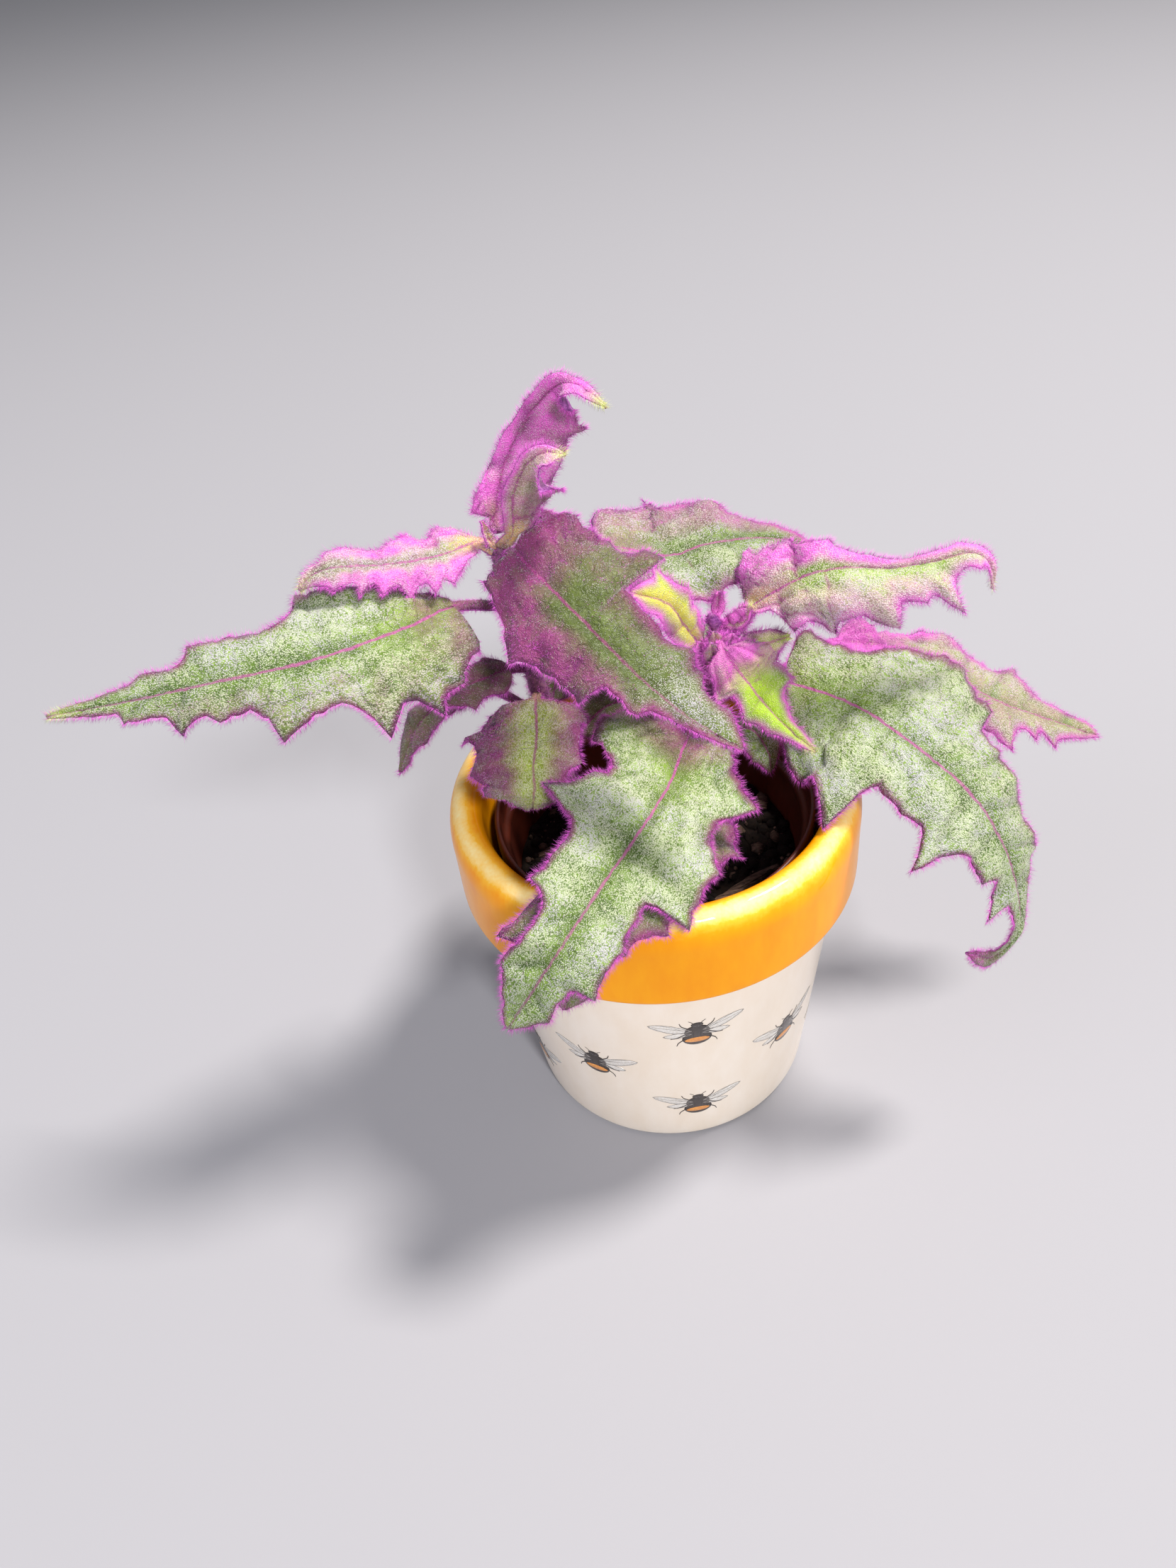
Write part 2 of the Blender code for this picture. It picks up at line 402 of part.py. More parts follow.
def blade(name, leaf, count, columns, surface):
    """Closed leaf: a grid bent over the leaf's sheet, with a matching underside."""
    sheet = LeafSheet(leaf)
    x, y, stalk_rows = sheet.rows(count, columns)
    spots = sheet.point(x, y)
    along = unit(np.gradient(spots, axis=0))
    across = unit(np.gradient(spots, axis=1))
    upward = unit(np.cross(along, across))
    out = np.linspace(-1, 1, 2 * columns + 1)
    rows = len(spots)
    stalk = np.clip((stalk_rows + 1 - np.arange(rows)) / 2.0, 0, 1)[:, None]
    tip = np.linspace(1, 0, rows)[:, None]
    round_section = EDGE_HALF_THICKNESS + (STALK_HALF_THICKNESS - EDGE_HALF_THICKNESS) * np.sqrt(1 - out ** 2)
    ridge = MIDRIB_DEPTH * tip * (out == 0)
    top = BLADE_HALF_THICKNESS + (round_section - BLADE_HALF_THICKNESS) * stalk
    bottom = BLADE_HALF_THICKNESS + ridge + (round_section - BLADE_HALF_THICKNESS - ridge) * stalk
    upper = spots + upward * top[..., None]
    lower = spots - upward * bottom[..., None]

    bm = bmesh.new()
    mark = bm.verts.layers.int.new("place")
    bmesh.ops.create_grid(bm, x_segments=2 * columns, y_segments=rows - 1, size=1.0)
    for vert in bm.verts:
        column = round((vert.co.x + 1) * columns)
        row = round((vert.co.y + 1) / 2 * (rows - 1))
        vert[mark] = row * (2 * columns + 1) + column
    bmesh.ops.triangulate(bm, faces=bm.faces)
    raised = bmesh.ops.extrude_face_region(bm, geom=list(bm.faces))
    above = {item for item in raised["geom"] if isinstance(item, bmesh.types.BMVert)}
    upper = upper.reshape(-1, 3)
    lower = lower.reshape(-1, 3)
    for vert in bm.verts:
        vert.co = (upper if vert in above else lower)[vert[mark]]
    bmesh.ops.triangulate(bm, faces=[face for face in bm.faces if len(face.verts) > 3])
    return finish_mesh(bm, name, surface)


def stem_tube(name, stem, extra, surface):
    """Tapering stem along its route; extra widens it all round and lowers its foot."""
    line, run = smooth_route(stem["route"])
    places = np.linspace(0, run[-1], STEM_RINGS)
    centres = read_at(line, run, places)
    centres[0] -= (centres[1] - centres[0]) / np.linalg.norm(centres[1] - centres[0]) * extra
    ahead = unit(np.gradient(centres, axis=0))
    low, high = stem["radius"]
    radii = low + (high - low) * places / run[-1] + extra
    bm = bmesh.new()
    bmesh.ops.create_circle(bm, segments=STEM_SIDES, radius=1.0)
    loops = [list(bm.verts)]
    edges = list(bm.edges)
    for _ in range(STEM_RINGS - 1):
        grown = bmesh.ops.extrude_edge_only(bm, edges=edges)["geom"]
        edges = [item for item in grown if isinstance(item, bmesh.types.BMEdge)]
        loops.append([item for item in grown if isinstance(item, bmesh.types.BMVert)])
    for loop, centre, way, radius in zip(loops, centres, ahead, radii):
        first = unit(np.cross(way, (0, 1, 0)))
        second = np.cross(way, first)
        for vert in loop:
            x, y, _ = unit(np.array(vert.co))
            vert.co = centre + radius * (x * first + y * second)
    bmesh.ops.holes_fill(bm, edges=bm.edges, sides=STEM_SIDES)
    bmesh.ops.triangulate(bm, faces=bm.faces)
    return finish_mesh(bm, name, surface)


def boolean(base, others, kind, solver):
    """Joins or cuts the base with all the others at once and removes them."""
    group = bpy.data.collections.new(base.name + "_others")
    bpy.context.scene.collection.children.link(group)
    for other in others:
        bpy.context.scene.collection.objects.unlink(other)
        group.objects.link(other)
    step = base.modifiers.new(kind, "BOOLEAN")
    step.operation = kind
    step.operand_type = "COLLECTION"
    step.collection = group
    step.solver = solver
    depsgraph = bpy.context.evaluated_depsgraph_get()
    result = bpy.data.meshes.new_from_object(base.evaluated_get(depsgraph))
    base.modifiers.clear()
    base.data = result
    result.name = base.name
    for other in others:
        bpy.data.objects.remove(other, do_unlink=True)
    bpy.data.collections.remove(group)


def bark_piece(place, surface):
    """One splintered lump of bark, pressed into the soil."""
    x, y, length, width, height, turn = place
    bm = bmesh.new()
    bmesh.ops.create_cube(bm, size=1.0)
    bmesh.ops.subdivide_edges(bm, edges=bm.edges, cuts=1, use_grid_fill=True)
    for vert in bm.verts:
        shift = noise.noise_vector(vert.co * 1.7 + Vector((x, y, 0.3)))
        taper = 1.0 - 0.45 * abs(vert.co.x) * 2
        vert.co = Vector((vert.co.x * length, vert.co.y * width * taper, vert.co.z * height * taper))
        vert.co += shift * 0.6
    angle = np.radians(turn)
    for vert in bm.verts:
        ahead, side = vert.co.x, vert.co.y
        vert.co.x = x + ahead * np.cos(angle) - side * np.sin(angle)
        vert.co.y = y + ahead * np.sin(angle) + side * np.cos(angle)
        vert.co.z += SOIL_LEVEL + 0.6
    bmesh.ops.triangulate(bm, faces=bm.faces)
    return finish_mesh(bm, "bark", surface)


def nursery_inside(z):
    """Inner radius of the nursery pot's plain wall at a height."""
    share = (z - NURSERY_BOTTOM) / (NURSERY_SHOULDER - NURSERY_BOTTOM)
    return NURSERY_FOOT_RADIUS + (NURSERY_SHOULDER_RADIUS - NURSERY_FOOT_RADIUS) * share - NURSERY_WALL


def build_pots(glaze, plastic):
    lip = COLLAR_RADIUS
    turned("pot", [
        (0, 0), (FOOT_RADIUS - 2.6, 0), (FOOT_RADIUS - 0.8, 0.9), (FOOT_RADIUS, 3),
        (51.2, COLLAR_BOTTOM - 1.2), (52.0, COLLAR_BOTTOM), (lip - 0.9, COLLAR_BOTTOM),
        (lip - 0.3, COLLAR_BOTTOM + 1.0), (lip, 90), (lip, 101), (lip - 0.8, 104.6), (lip - 2.6, 107.2),
        (lip - 5.0, POT_HEIGHT), (lip - 7.4, 107), (lip - 8.8, 104.8), (lip - 9.3, 102), (46.4, 90),
        (39.4, POT_FLOOR + 2.5), (36.5, POT_FLOOR), (0, POT_FLOOR)], POT_SIDES, glaze)
    wall = NURSERY_WALL
    turned("nursery_pot", [
        (0, NURSERY_BOTTOM), (NURSERY_FOOT_RADIUS - 1.4, NURSERY_BOTTOM),
        (NURSERY_FOOT_RADIUS, NURSERY_BOTTOM + 1.2), (NURSERY_SHOULDER_RADIUS, NURSERY_SHOULDER),
        (NURSERY_RADIUS - 0.5, NURSERY_SHOULDER + 0.6), (NURSERY_RADIUS, NURSERY_SHOULDER + 1.8), (NURSERY_RADIUS, NURSERY_TOP - 0.7), (NURSERY_RADIUS - 0.5, NURSERY_TOP),
        (NURSERY_RADIUS - 1.1, NURSERY_TOP), (NURSERY_RADIUS - 1.6, NURSERY_TOP - 0.7),
        (NURSERY_RADIUS - 1.6, 94.4), (nursery_inside(90), 91.2),
        (nursery_inside(NURSERY_BOTTOM + wall + 1), NURSERY_BOTTOM + wall + 1),
        (NURSERY_FOOT_RADIUS - 2.0, NURSERY_BOTTOM + wall), (0, NURSERY_BOTTOM + wall)],
        NURSERY_SIDES, plastic)


def soil_relief(bm):
    """Lumpy upper face of the soil."""
    reach = nursery_inside(SOIL_LEVEL) - SOIL_GAP
    for vert in bm.verts:
        if vert.co.z > SOIL_LEVEL - 1:
            radius = np.hypot(vert.co.x, vert.co.y)
            fade = np.clip((reach - radius) / 6.0, 0, 1)
            lump = noise.noise(Vector((vert.co.x * 0.16, vert.co.y * 0.16, 3.1)))
            fine = noise.noise(Vector((vert.co.x * 0.5, vert.co.y * 0.5, 8.7)))
            vert.co.z += SOIL_RELIEF * fade * (lump + 0.5 * fine)


def build_soil(earth):
    floor = NURSERY_BOTTOM + NURSERY_WALL + SOIL_GAP
    wide = nursery_inside(SOIL_LEVEL) - SOIL_GAP - 0.05
    rings = [(wide * (SOIL_RINGS - k) / SOIL_RINGS, SOIL_LEVEL) for k in range(SOIL_RINGS + 1)]
    narrow = nursery_inside(floor + 2.0) - SOIL_GAP - 0.1
    soil = turned("soil", [(0, floor), (narrow - 2.2, floor), (narrow, floor + 2.0)] + rings,
                  SOIL_SIDES, earth, soil_relief)
    boolean(soil, [bark_piece(place, earth) for place in BARK], "UNION", "MANIFOLD")
    holes = [stem_tube("hole_" + name, stem, HOLE_GAP, earth) for name, stem in STEMS.items()]
    boolean(soil, holes, "DIFFERENCE", "MANIFOLD")


def build_stems(green):
    for name, stem in STEMS.items():
        body = stem_tube("stem_" + name, stem, 0.0, green)
        leaflets = [blade("leaflet", leaf, 6, 1, green) for leaf in TIP_LEAFLETS if leaf["stem"] == name]
        boolean(body, leaflets, "UNION", "MANIFOLD")


def build_leaves(hairy_green, velvet_purple):
    for name, leaf in LEAVES.items():
        rows, columns = (15, 3) if LeafSheet(leaf).length > LONG_LEAF else (10, 2)
        blade(name, leaf, rows, columns, velvet_purple if name in YOUNG_LEAVES else hairy_green)


clear_scene()
build_pots(material("glazed_ceramic", (0.9, 0.42, 0.04), 0.15),
           material("brown_plastic", (0.2, 0.06, 0.03), 0.45))
build_soil(material("potting_soil", (0.03, 0.02, 0.015), 0.95))
build_stems(material("stem_skin", (0.25, 0.05, 0.18), 0.7))
build_leaves(material("hairy_leaf", (0.18, 0.28, 0.12), 0.65), material("young_leaf", (0.5, 0.12, 0.45), 0.65))
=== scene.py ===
"""Purple passion plant in a nursery pot inside a glazed ceramic pot: the finished surfaces.

Lengths are millimetres unless a name says otherwise; the meshes are made in metres.
"""

import bmesh
import bpy
import numpy as np
from mathutils import Matrix, Vector, noise


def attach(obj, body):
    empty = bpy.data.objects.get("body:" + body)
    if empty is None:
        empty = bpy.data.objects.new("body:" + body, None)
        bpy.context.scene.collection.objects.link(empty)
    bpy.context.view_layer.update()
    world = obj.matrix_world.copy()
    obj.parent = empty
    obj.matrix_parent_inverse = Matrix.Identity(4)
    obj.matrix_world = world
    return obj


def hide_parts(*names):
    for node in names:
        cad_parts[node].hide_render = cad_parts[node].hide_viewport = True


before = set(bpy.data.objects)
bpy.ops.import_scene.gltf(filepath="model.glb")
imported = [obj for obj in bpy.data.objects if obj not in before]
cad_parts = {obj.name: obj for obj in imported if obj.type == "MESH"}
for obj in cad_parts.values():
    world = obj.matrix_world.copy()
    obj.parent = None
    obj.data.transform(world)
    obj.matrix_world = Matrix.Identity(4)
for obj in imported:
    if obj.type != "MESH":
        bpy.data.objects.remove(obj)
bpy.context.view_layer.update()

MM = 0.001
TURN = 2 * np.pi

# Camera: the point it looks at, its distance from there, its downward pitch and its roll in degrees, and its focal
# length as a share of the frame's height. These and the pots' sizes come from a fit to the circles of both pots.
AIM = (-17.267, 0.0, 107.478)
CAMERA_DISTANCE = 306.95
CAMERA_PITCH = 40.572
CAMERA_ROLL = -7.078
FOCAL_SHARE = 1600 / 2212
SENSOR = 36.0
NEAREST_SEEN = 10 * MM

# Setting: half the board's width, and the point in metres that the lights are turned to
FLOOR_REACH = 9000.0
LIGHTS_AIM = (0, 0, 0.12)

# Ceramic pot
POT_HEIGHT = 108.0
COLLAR_RADIUS = 56.0
COLLAR_BOTTOM = 79.6
FOOT_RADIUS = 43.0
BODY_TOP_RADIUS = 51.2
POT_FLOOR = 7.0
POT_STEPS = 144
# The glaze runs thin on the lip: middle of that place inside the collar's face, its height, its reach, the most
THIN_INSET = 3.0
THIN_HEIGHT = 107.4
THIN_REACH = 3.4
THIN_MOST = 0.85

# Plastic nursery pot
NURSERY_BOTTOM = 7.3
NURSERY_TOP = 99.4
NURSERY_SHOULDER = 92.0
NURSERY_RADIUS = 44.0
NURSERY_SHOULDER_RADIUS = 41.8
NURSERY_FOOT_RADIUS = 31.0
NURSERY_WALL = 1.0
NURSERY_STEPS = 120

# Soil
SOIL_LEVEL = 79.0
SOIL_BOTTOM = 9.0
SOIL_RADIUS = 39.0
SOIL_STEPS = 96
SOIL_RINGS = 40
SOIL_GRAINS = 1500
SOIL_SEED = 41
BARK_SHARE = 0.16

# Leaves
ROUTE_STEPS = 40
BEND_PARTS = 12
BLADE_HALF_THICKNESS = 0.26
STALK_HALF_THICKNESS = 1.0
STALK_ROOT = -1.4
ROW_SPACING = 1.25
BLADE_COLUMNS = 10

# Relief of a blade. Folds fan out from a point behind the blade's base, so many of them to a radian.
VEIN_SPACING = 13.0
VEIN_WIDTH = 0.55
VEIN_DEPTH = 0.35
MIDRIB_WIDTH = 0.6
MIDRIB_DEPTH = 0.45
SWELL_HEIGHT = 1.2
RUFFLE_HEIGHT = 0.9
FAN_BEHIND = 8.0
FAN_RAYS = 5.5
FAN_HEIGHT = 1.5
GROOVE_WIDTH = 0.5
KEEL_WIDTH = 0.9
KEEL_HEIGHT = 0.7
NIBBLE_DEPTH = 0.45

# Hairs, drawn about twice as thick as real ones so that they show; a pair gives the least and the most
FELT_PER_SQUARE_MM = 2.8
UNDERSIDE_SHARE = 0.25
FELT_LENGTHS = (0.4, 0.7)
FUR_LENGTHS = (0.1, 0.8)
FELT_WIDTHS = (0.07, 0.11)
FELT_ROOT_DEPTH = 0.08
FRINGE_PER_MM = 12.0
FRINGE_LENGTHS = (1.0, 2.1)
FRINGE_WIDTH = 0.075
CURVED_PER_MM = 2.4
CURVED_WIDTH = 0.10
STEM_HAIRS = 3200
STEM_HAIR_LENGTHS = (0.9, 1.9)
STEM_HAIR_WIDTHS = (0.1, 0.15)
ROOT_DEPTH = 0.1

# Skin of the stems, thicker at each leaf by so much and over that share of the stem's length
STEM_SIDES = 20
STEM_RINGS = 60
BURIED_RINGS = 14
NODE_SWELLING = 0.35
NODE_SHARE = 0.018

# Leaf table, in millimetres. Every leaf leaves its stem at the given height.
# rib: places the midrib passes through after the stalk's foot; the blade begins at the first one
# face: direction the upper side looks, from the blade's base to its tip
# left, right: toothed margin seen from above, (share of the blade, distance from the midrib)
# bend: slope in degrees near the midrib, its growth outwards and the extra curl of the teeth, left then right
# sweep: how far the margin runs ahead of the midrib, at the base and beyond the middle
# wave: height of the ruffles and how many there are; half: usual half width; stalk: half width of the stalk
# first: how many of the rib's places lie on the stalk; gap: how far the stalk's foot stays off the stem, below 0
# inside it
# What a leaf doesn't give is as in PLAIN_LEAF, and its gap is STALK_ROOT.
PLAIN_LEAF = dict(sweep=(-0.1, 0.4), stalk=1.3, bend=(0, 20, 0, 0, 20, 0))
LEAVES = {
    "leaf_long_left": dict(
        stem="left", height=160, half=24, sweep=(-0.4, 0.5), wave=(1.2, 4),
        rib=[(-43.5, -2, 168.5), (-54, -10, 169.5), (-75, -18, 169), (-101, -18, 166), (-120, -14, 161.5),
             (-143, -8, 156)],
        face=[(0, -0.45, 0.9), (0, -0.5, 0.85), (0, -0.5, 0.85)], bend=(10, 25, 60, 0, 10, 0),
        left=[(0.03, 12.5), (0.08, 13.5), (0.12, 17.5), (0.14, 17), (0.16, 21.5), (0.20, 16), (0.25, 22.5),
              (0.30, 11.5), (0.40, 16), (0.46, 8), (0.52, 9), (0.56, 7), (0.60, 10.5), (0.67, 5), (0.76, 5),
              (0.80, 2.5)],
        right=[(0.33, 19), (0.38, 11), (0.57, 10.5), (0.62, 5.5), (0.72, 5.5), (0.78, 3.5)]),
    "leaf_centre": dict(
        stem="left", height=173, half=24, sweep=(-0.8, 0.5), wave=(1.2, 3),
        rib=[(-27.5, 2, 178.5), (-22.5, -6, 176), (-13, -20, 170.5), (-4, -29, 162.5), (6, -37, 155),
             (17, -44, 149.5)],
        face=[(0, -0.5, 0.85), (0.1, -0.5, 0.85), (0.3, -0.4, 0.85)], bend=(0, 15, 0, 5, 35, 0),
        left=[(0.06, 15), (0.14, 16), (0.25, 20), (0.28, 20), (0.35, 26), (0.37, 12), (0.52, 12), (0.58, 14),
              (0.68, 11), (0.85, 7)],
        right=[(0.10, 10), (0.18, 12), (0.32, 19), (0.37, 14), (0.49, 13.5), (0.53, 7.5), (0.64, 7), (0.70, 4),
               (0.88, 2)]),
    "leaf_front": dict(
        stem="right", height=121, half=26, sweep=(-0.8, 0.5), wave=(1.2, 3),
        rib=[(9.5, -5, 122.5), (3, -18, 119.5), (-7, -35, 119.5), (-17, -50, 119), (-26.5, -61, 114.5),
             (-34, -65, 106), (-43, -67, 93)],
        face=[(0, -0.5, 0.85), (0.05, -0.55, 0.85), (0, -0.7, 0.7), (-0.2, -0.9, 0.4)],
        bend=(-4, 12, 0, -8, 10, 0),
        left=[(0.02, 12), (0.12, 13.5), (0.21, 23), (0.25, 14.5), (0.355, 21.5), (0.39, 20.5), (0.46, 22.5),
              (0.49, 10.5), (0.61, 12.5), (0.66, 11.5), (0.73, 13), (0.78, 7), (0.88, 6.5)],
        right=[(0.185, 22.5), (0.245, 14), (0.375, 26.5), (0.465, 13), (0.57, 14.5), (0.63, 8.5), (0.79, 10),
               (0.86, 6.5)]),
    "leaf_right": dict(
        stem="right", height=130, half=26, sweep=(-0.2, 0.5), wave=(1.2, 3), stalk=1.4,
        rib=[(36.5, 5, 130), (51.5, -4, 127.5), (60.5, -14, 125), (74.5, -29, 116.5), (83, -35, 103.5),
             (88.5, -38, 88), (90.5, -40, 73.5), (84, -42, 66), (75, -46, 73.5)],
        face=[(0, -0.6, 0.8), (0.1, -0.6, 0.8), (0.3, -0.7, 0.6), (0.6, -0.7, 0.3), (0.7, -0.7, 0.0)],
        bend=(0, 20, 0, 0, 24, 0),
        left=[(0.04, 16), (0.10, 14), (0.20, 27.5), (0.25, 28), (0.335, 22), (0.36, 15), (0.62, 10), (0.78, 3),
              (0.9, 3)],
        right=[(0.14, 24), (0.18, 22), (0.25, 31.5), (0.29, 14.5), (0.37, 16), (0.395, 15), (0.43, 24),
               (0.50, 11.5), (0.58, 10.5), (0.61, 6.5), (0.67, 12), (0.71, 4.5), (0.85, 3)]),
    "leaf_left_rim": dict(
        stem="left", height=134, half=20, sweep=(-0.3, 0.4), wave=(1.0, 3), stalk=1.2,
        rib=[(-28, 4, 134.5), (-28.5, -8, 133), (-30, -17, 130), (-30.5, -22, 126.5), (-31.5, -21, 121),
             (-32.5, -16, 115)],
        face=[(0, 0, 1), (0, -0.2, 1), (0, -0.9, 0.3), (0, -1, -0.3)], bend=(5, 35, 0, 5, 25, 0),
        left=[(0.18, 13.5), (0.27, 10.5), (0.40, 12), (0.55, 8), (0.70, 8), (0.80, 4)],
        right=[(0.12, 14), (0.15, 14), (0.22, 21), (0.30, 16), (0.45, 17), (0.55, 12), (0.70, 12), (0.80, 5)]),
    "leaf_upper_left": dict(
        stem="left", height=175, half=9, sweep=(-0.1, 0.3), wave=(1.2, 4), stalk=1.2,
        rib=[(-36.5, 9, 178.5), (-45, 5, 178.5), (-56.5, 1, 180), (-67, -2, 182.5), (-73, -3, 182),
             (-77, -4, 179)],
        face=[(0, -0.3, 0.95), (0, -0.4, 0.9), (-0.1, -0.4, 0.9)], bend=(0, 30, 60, 0, 20, 0),
        left=[(0.07, 4), (0.16, 5.5), (0.20, 8.5), (0.24, 7), (0.28, 10), (0.32, 6.5), (0.35, 6.5), (0.39, 9.8),
              (0.44, 5.5), (0.51, 8), (0.56, 4.5), (0.61, 7), (0.66, 4.5), (0.76, 6), (0.83, 4)],
        right=[(0.03, 4), (0.07, 9), (0.17, 9), (0.23, 6), (0.31, 10), (0.45, 6), (0.56, 4.5), (0.66, 6),
               (0.76, 5), (0.86, 2.5)]),
    "leaf_top": dict(
        stem="left", height=176, gap=-0.4, half=12, sweep=(-0.2, 0.4), wave=(0.8, 3), stalk=1.2,
        rib=[(-31, 14, 182), (-28.5, 18, 190.5), (-22, 21, 200.5), (-14, 19, 209), (-8.5, 14, 211),
             (-3, 9, 207.5)],
        face=[(0.3, -0.9, 0.3), (0.3, -0.9, 0.2), (0.5, -0.6, 0.6)], bend=(20, 20, 0, 0, 12, 25),
        left=[(0.03, 6.5), (0.09, 5.5), (0.16, 4), (0.30, 3), (0.50, 2.5), (0.70, 2.5)],
        right=[(0.10, 7), (0.20, 13), (0.36, 14.5), (0.42, 12.5), (0.50, 13.5), (0.56, 8.5), (0.68, 6),
               (0.78, 4), (0.88, 2.5)]),
    "leaf_top_small": dict(
        stem="left", height=176.2, half=9, sweep=(0, 0.3), wave=(0.6, 3), stalk=1.1,
        rib=[(-27.5, 5, 182), (-26, 2, 192), (-23, 0, 199), (-18.5, -2, 203.5), (-13.5, -4, 203.5)],
        face=[(0.4, -0.9, 0.3), (0.4, -0.8, 0.5), (0.3, -0.5, 0.8)], bend=(0, 10, 0, -15, 10, 45),
        left=[(0.10, 2.5), (0.30, 3), (0.50, 2.5), (0.75, 2)],
        right=[(0.08, 6), (0.14, 7), (0.20, 6), (0.28, 9.5), (0.34, 8), (0.43, 10.5), (0.50, 9), (0.58, 9.5),
               (0.65, 7), (0.74, 10), (0.80, 5), (0.88, 5), (0.94, 2)]),
    "leaf_back_centre": dict(
        stem="left", height=165, half=18, wave=(1.2, 3),
        rib=[(-6, 25, 164), (9.5, 27, 158.5), (23.5, 29, 159.5), (40.5, 31, 157), (57.5, 31, 148.5)],
        face=[(0, -0.2, 1), (0, -0.3, 1), (0.2, -0.4, 0.9)], bend=(0, 0, 0, 0, 40, 0),
        left=[(0.08, 16), (0.12, 16), (0.21, 23), (0.32, 15), (0.44, 17), (0.54, 8), (0.70, 4)],
        right=[(0.15, 14), (0.31, 16), (0.46, 13), (0.64, 9), (0.80, 5)]),
    "leaf_upper_right": dict(
        stem="right", height=142.5, half=14, sweep=(-0.1, 0.5), wave=(0.8, 3), stalk=1.2,
        rib=[(28, 8, 151.5), (35.5, 6, 157.5), (43.5, 4, 162), (51.5, 2, 163.5), (62, 1, 162.5), (72, 1, 163),
             (80.5, 1, 164), (85, 0, 161), (86.5, -1, 154.5)],
        face=[(0, -0.4, 0.9), (0, -0.5, 0.85), (0, -0.5, 0.8), (0.5, -0.5, 0.8)], bend=(0, 10, 60, 0, 35, 60),
        left=[(0.02, 12.5), (0.06, 15.5), (0.12, 13), (0.19, 13), (0.25, 7.5), (0.31, 7.5), (0.40, 3.5),
              (0.55, 2), (0.66, 2), (0.76, 3), (0.86, 2)],
        right=[(0.07, 3.5), (0.13, 11.5), (0.18, 11), (0.27, 18), (0.33, 13), (0.40, 12), (0.47, 18),
               (0.51, 9), (0.57, 10), (0.60, 8.5), (0.65, 14), (0.70, 6), (0.77, 3.5), (0.84, 4), (0.88, 2)]),
    "leaf_far_right": dict(
        stem="right", height=123, half=18, sweep=(-0.1, 0.5), wave=(1.0, 3),
        rib=[(42, 17, 126), (57, 26, 125.5), (80.5, 26, 117.5), (101.5, 22, 102), (117.5, 18, 95),
             (132.5, 16, 88)], first=1,
        face=[(0, -0.3, 0.95), (0, -0.3, 0.95), (0.2, -0.3, 0.9)], bend=(0, 10, 0, 0, 25, 0),
        left=[(0.09, 8), (0.16, 4), (0.33, 10), (0.46, 9.5), (0.59, 14), (0.80, 5.5), (0.93, 4)],
        right=[(0.15, 14), (0.39, 12), (0.55, 11), (0.62, 14), (0.675, 6.5), (0.72, 8.5), (0.75, 5.5),
               (0.785, 9), (0.83, 5)]),
    "leaf_young_green": dict(
        stem="right", height=144, half=12, sweep=(0, 0.4), wave=(0.6, 3), stalk=1.1,
        rib=[(20.2, 0.5, 145.5), (26, -3, 136.5), (32.3, -10, 129.5), (40.5, -16, 122.5)],
        face=[(0, -0.7, 0.7), (0, -0.6, 0.8), (0.2, -0.6, 0.7)], bend=(0, 10, 0, 0, 20, 0),
        left=[(0.04, 6), (0.10, 8), (0.21, 17), (0.28, 9.5), (0.40, 10.5), (0.46, 6.5), (0.56, 4.5), (0.80, 2)],
        right=[(0.06, 6), (0.22, 9.5), (0.29, 5), (0.45, 7), (0.63, 4), (0.83, 2)]),
    "leaf_young_yellow": dict(
        stem="right", height=142.5, half=9, sweep=(-0.1, 0.5), wave=(0.6, 3), stalk=1.1,
        rib=[(15.5, 6, 144), (11, 2.5, 153), (7, 1, 160.5), (-1.8, 0.5, 165)],
        face=[(0, -0.7, 0.7), (0, -0.6, 0.8), (-0.2, -0.6, 0.7)], bend=(0, 10, 0, 0, 20, 0),
        left=[(0.13, 5.5), (0.34, 5), (0.58, 5), (0.79, 3.5)],
        right=[(0.09, 4), (0.18, 4), (0.30, 6.5), (0.36, 5.5), (0.47, 7), (0.56, 5.5), (0.68, 8.5), (0.76, 4.5)]),
    "leaf_under_front": dict(
        stem="right", height=99, half=22, sweep=(-0.2, 0.4), wave=(1.0, 3),
        rib=[(9.5, -8, 101.5), (-6.5, -33, 111), (-18.5, -52, 113), (-25, -60, 106), (-29.5, -62, 91)],
        face=[(0, -0.4, 0.9), (0.05, -0.5, 0.85), (0, -0.8, 0.6), (0, -1, 0.1)], bend=(-15, 5, 0, 0, 20, 0),
        left=[(0.12, 15.5), (0.17, 20), (0.30, 14), (0.40, 17), (0.47, 14), (0.54, 17), (0.69, 10), (0.80, 6),
              (0.91, 5)],
        right=[(0.15, 8), (0.39, 10), (0.58, 15), (0.63, 14), (0.72, 19), (0.77, 12), (0.88, 6)]),
    "leaf_low_left": dict(
        stem="left", height=124, half=14, wave=(1.0, 3), stalk=1.2,
        rib=[(-38, 10, 134.5), (-48.5, 13, 134), (-61, 16, 122.5), (-70, 18, 105)],
        face=[(0, -0.3, 0.9), (-0.3, -0.5, 0.8), (-0.9, -0.4, 0.2)],
        left=[(0.25, 6), (0.40, 5), (0.55, 6), (0.84, 3)],
        right=[(0.25, 6), (0.45, 4.5), (0.60, 6.5), (0.84, 3.5)]),
    "leaf_inner_left": dict(
        stem="left", height=141, half=10, wave=(0.8, 2), stalk=1.1,
        rib=[(-33.5, 7, 143), (-39, 4, 143.5), (-46, 1, 143), (-53, 0, 139)],
        face=[(0, -0.5, 0.9), (0, -0.5, 0.9)],
        left=[(0.20, 6), (0.30, 5), (0.50, 7), (0.65, 4)],
        right=[(0.20, 6), (0.35, 5), (0.55, 6), (0.70, 4)]),
    "leaf_inner_back": dict(
        stem="left", height=112, half=12, wave=(0.8, 3), stalk=1.2,
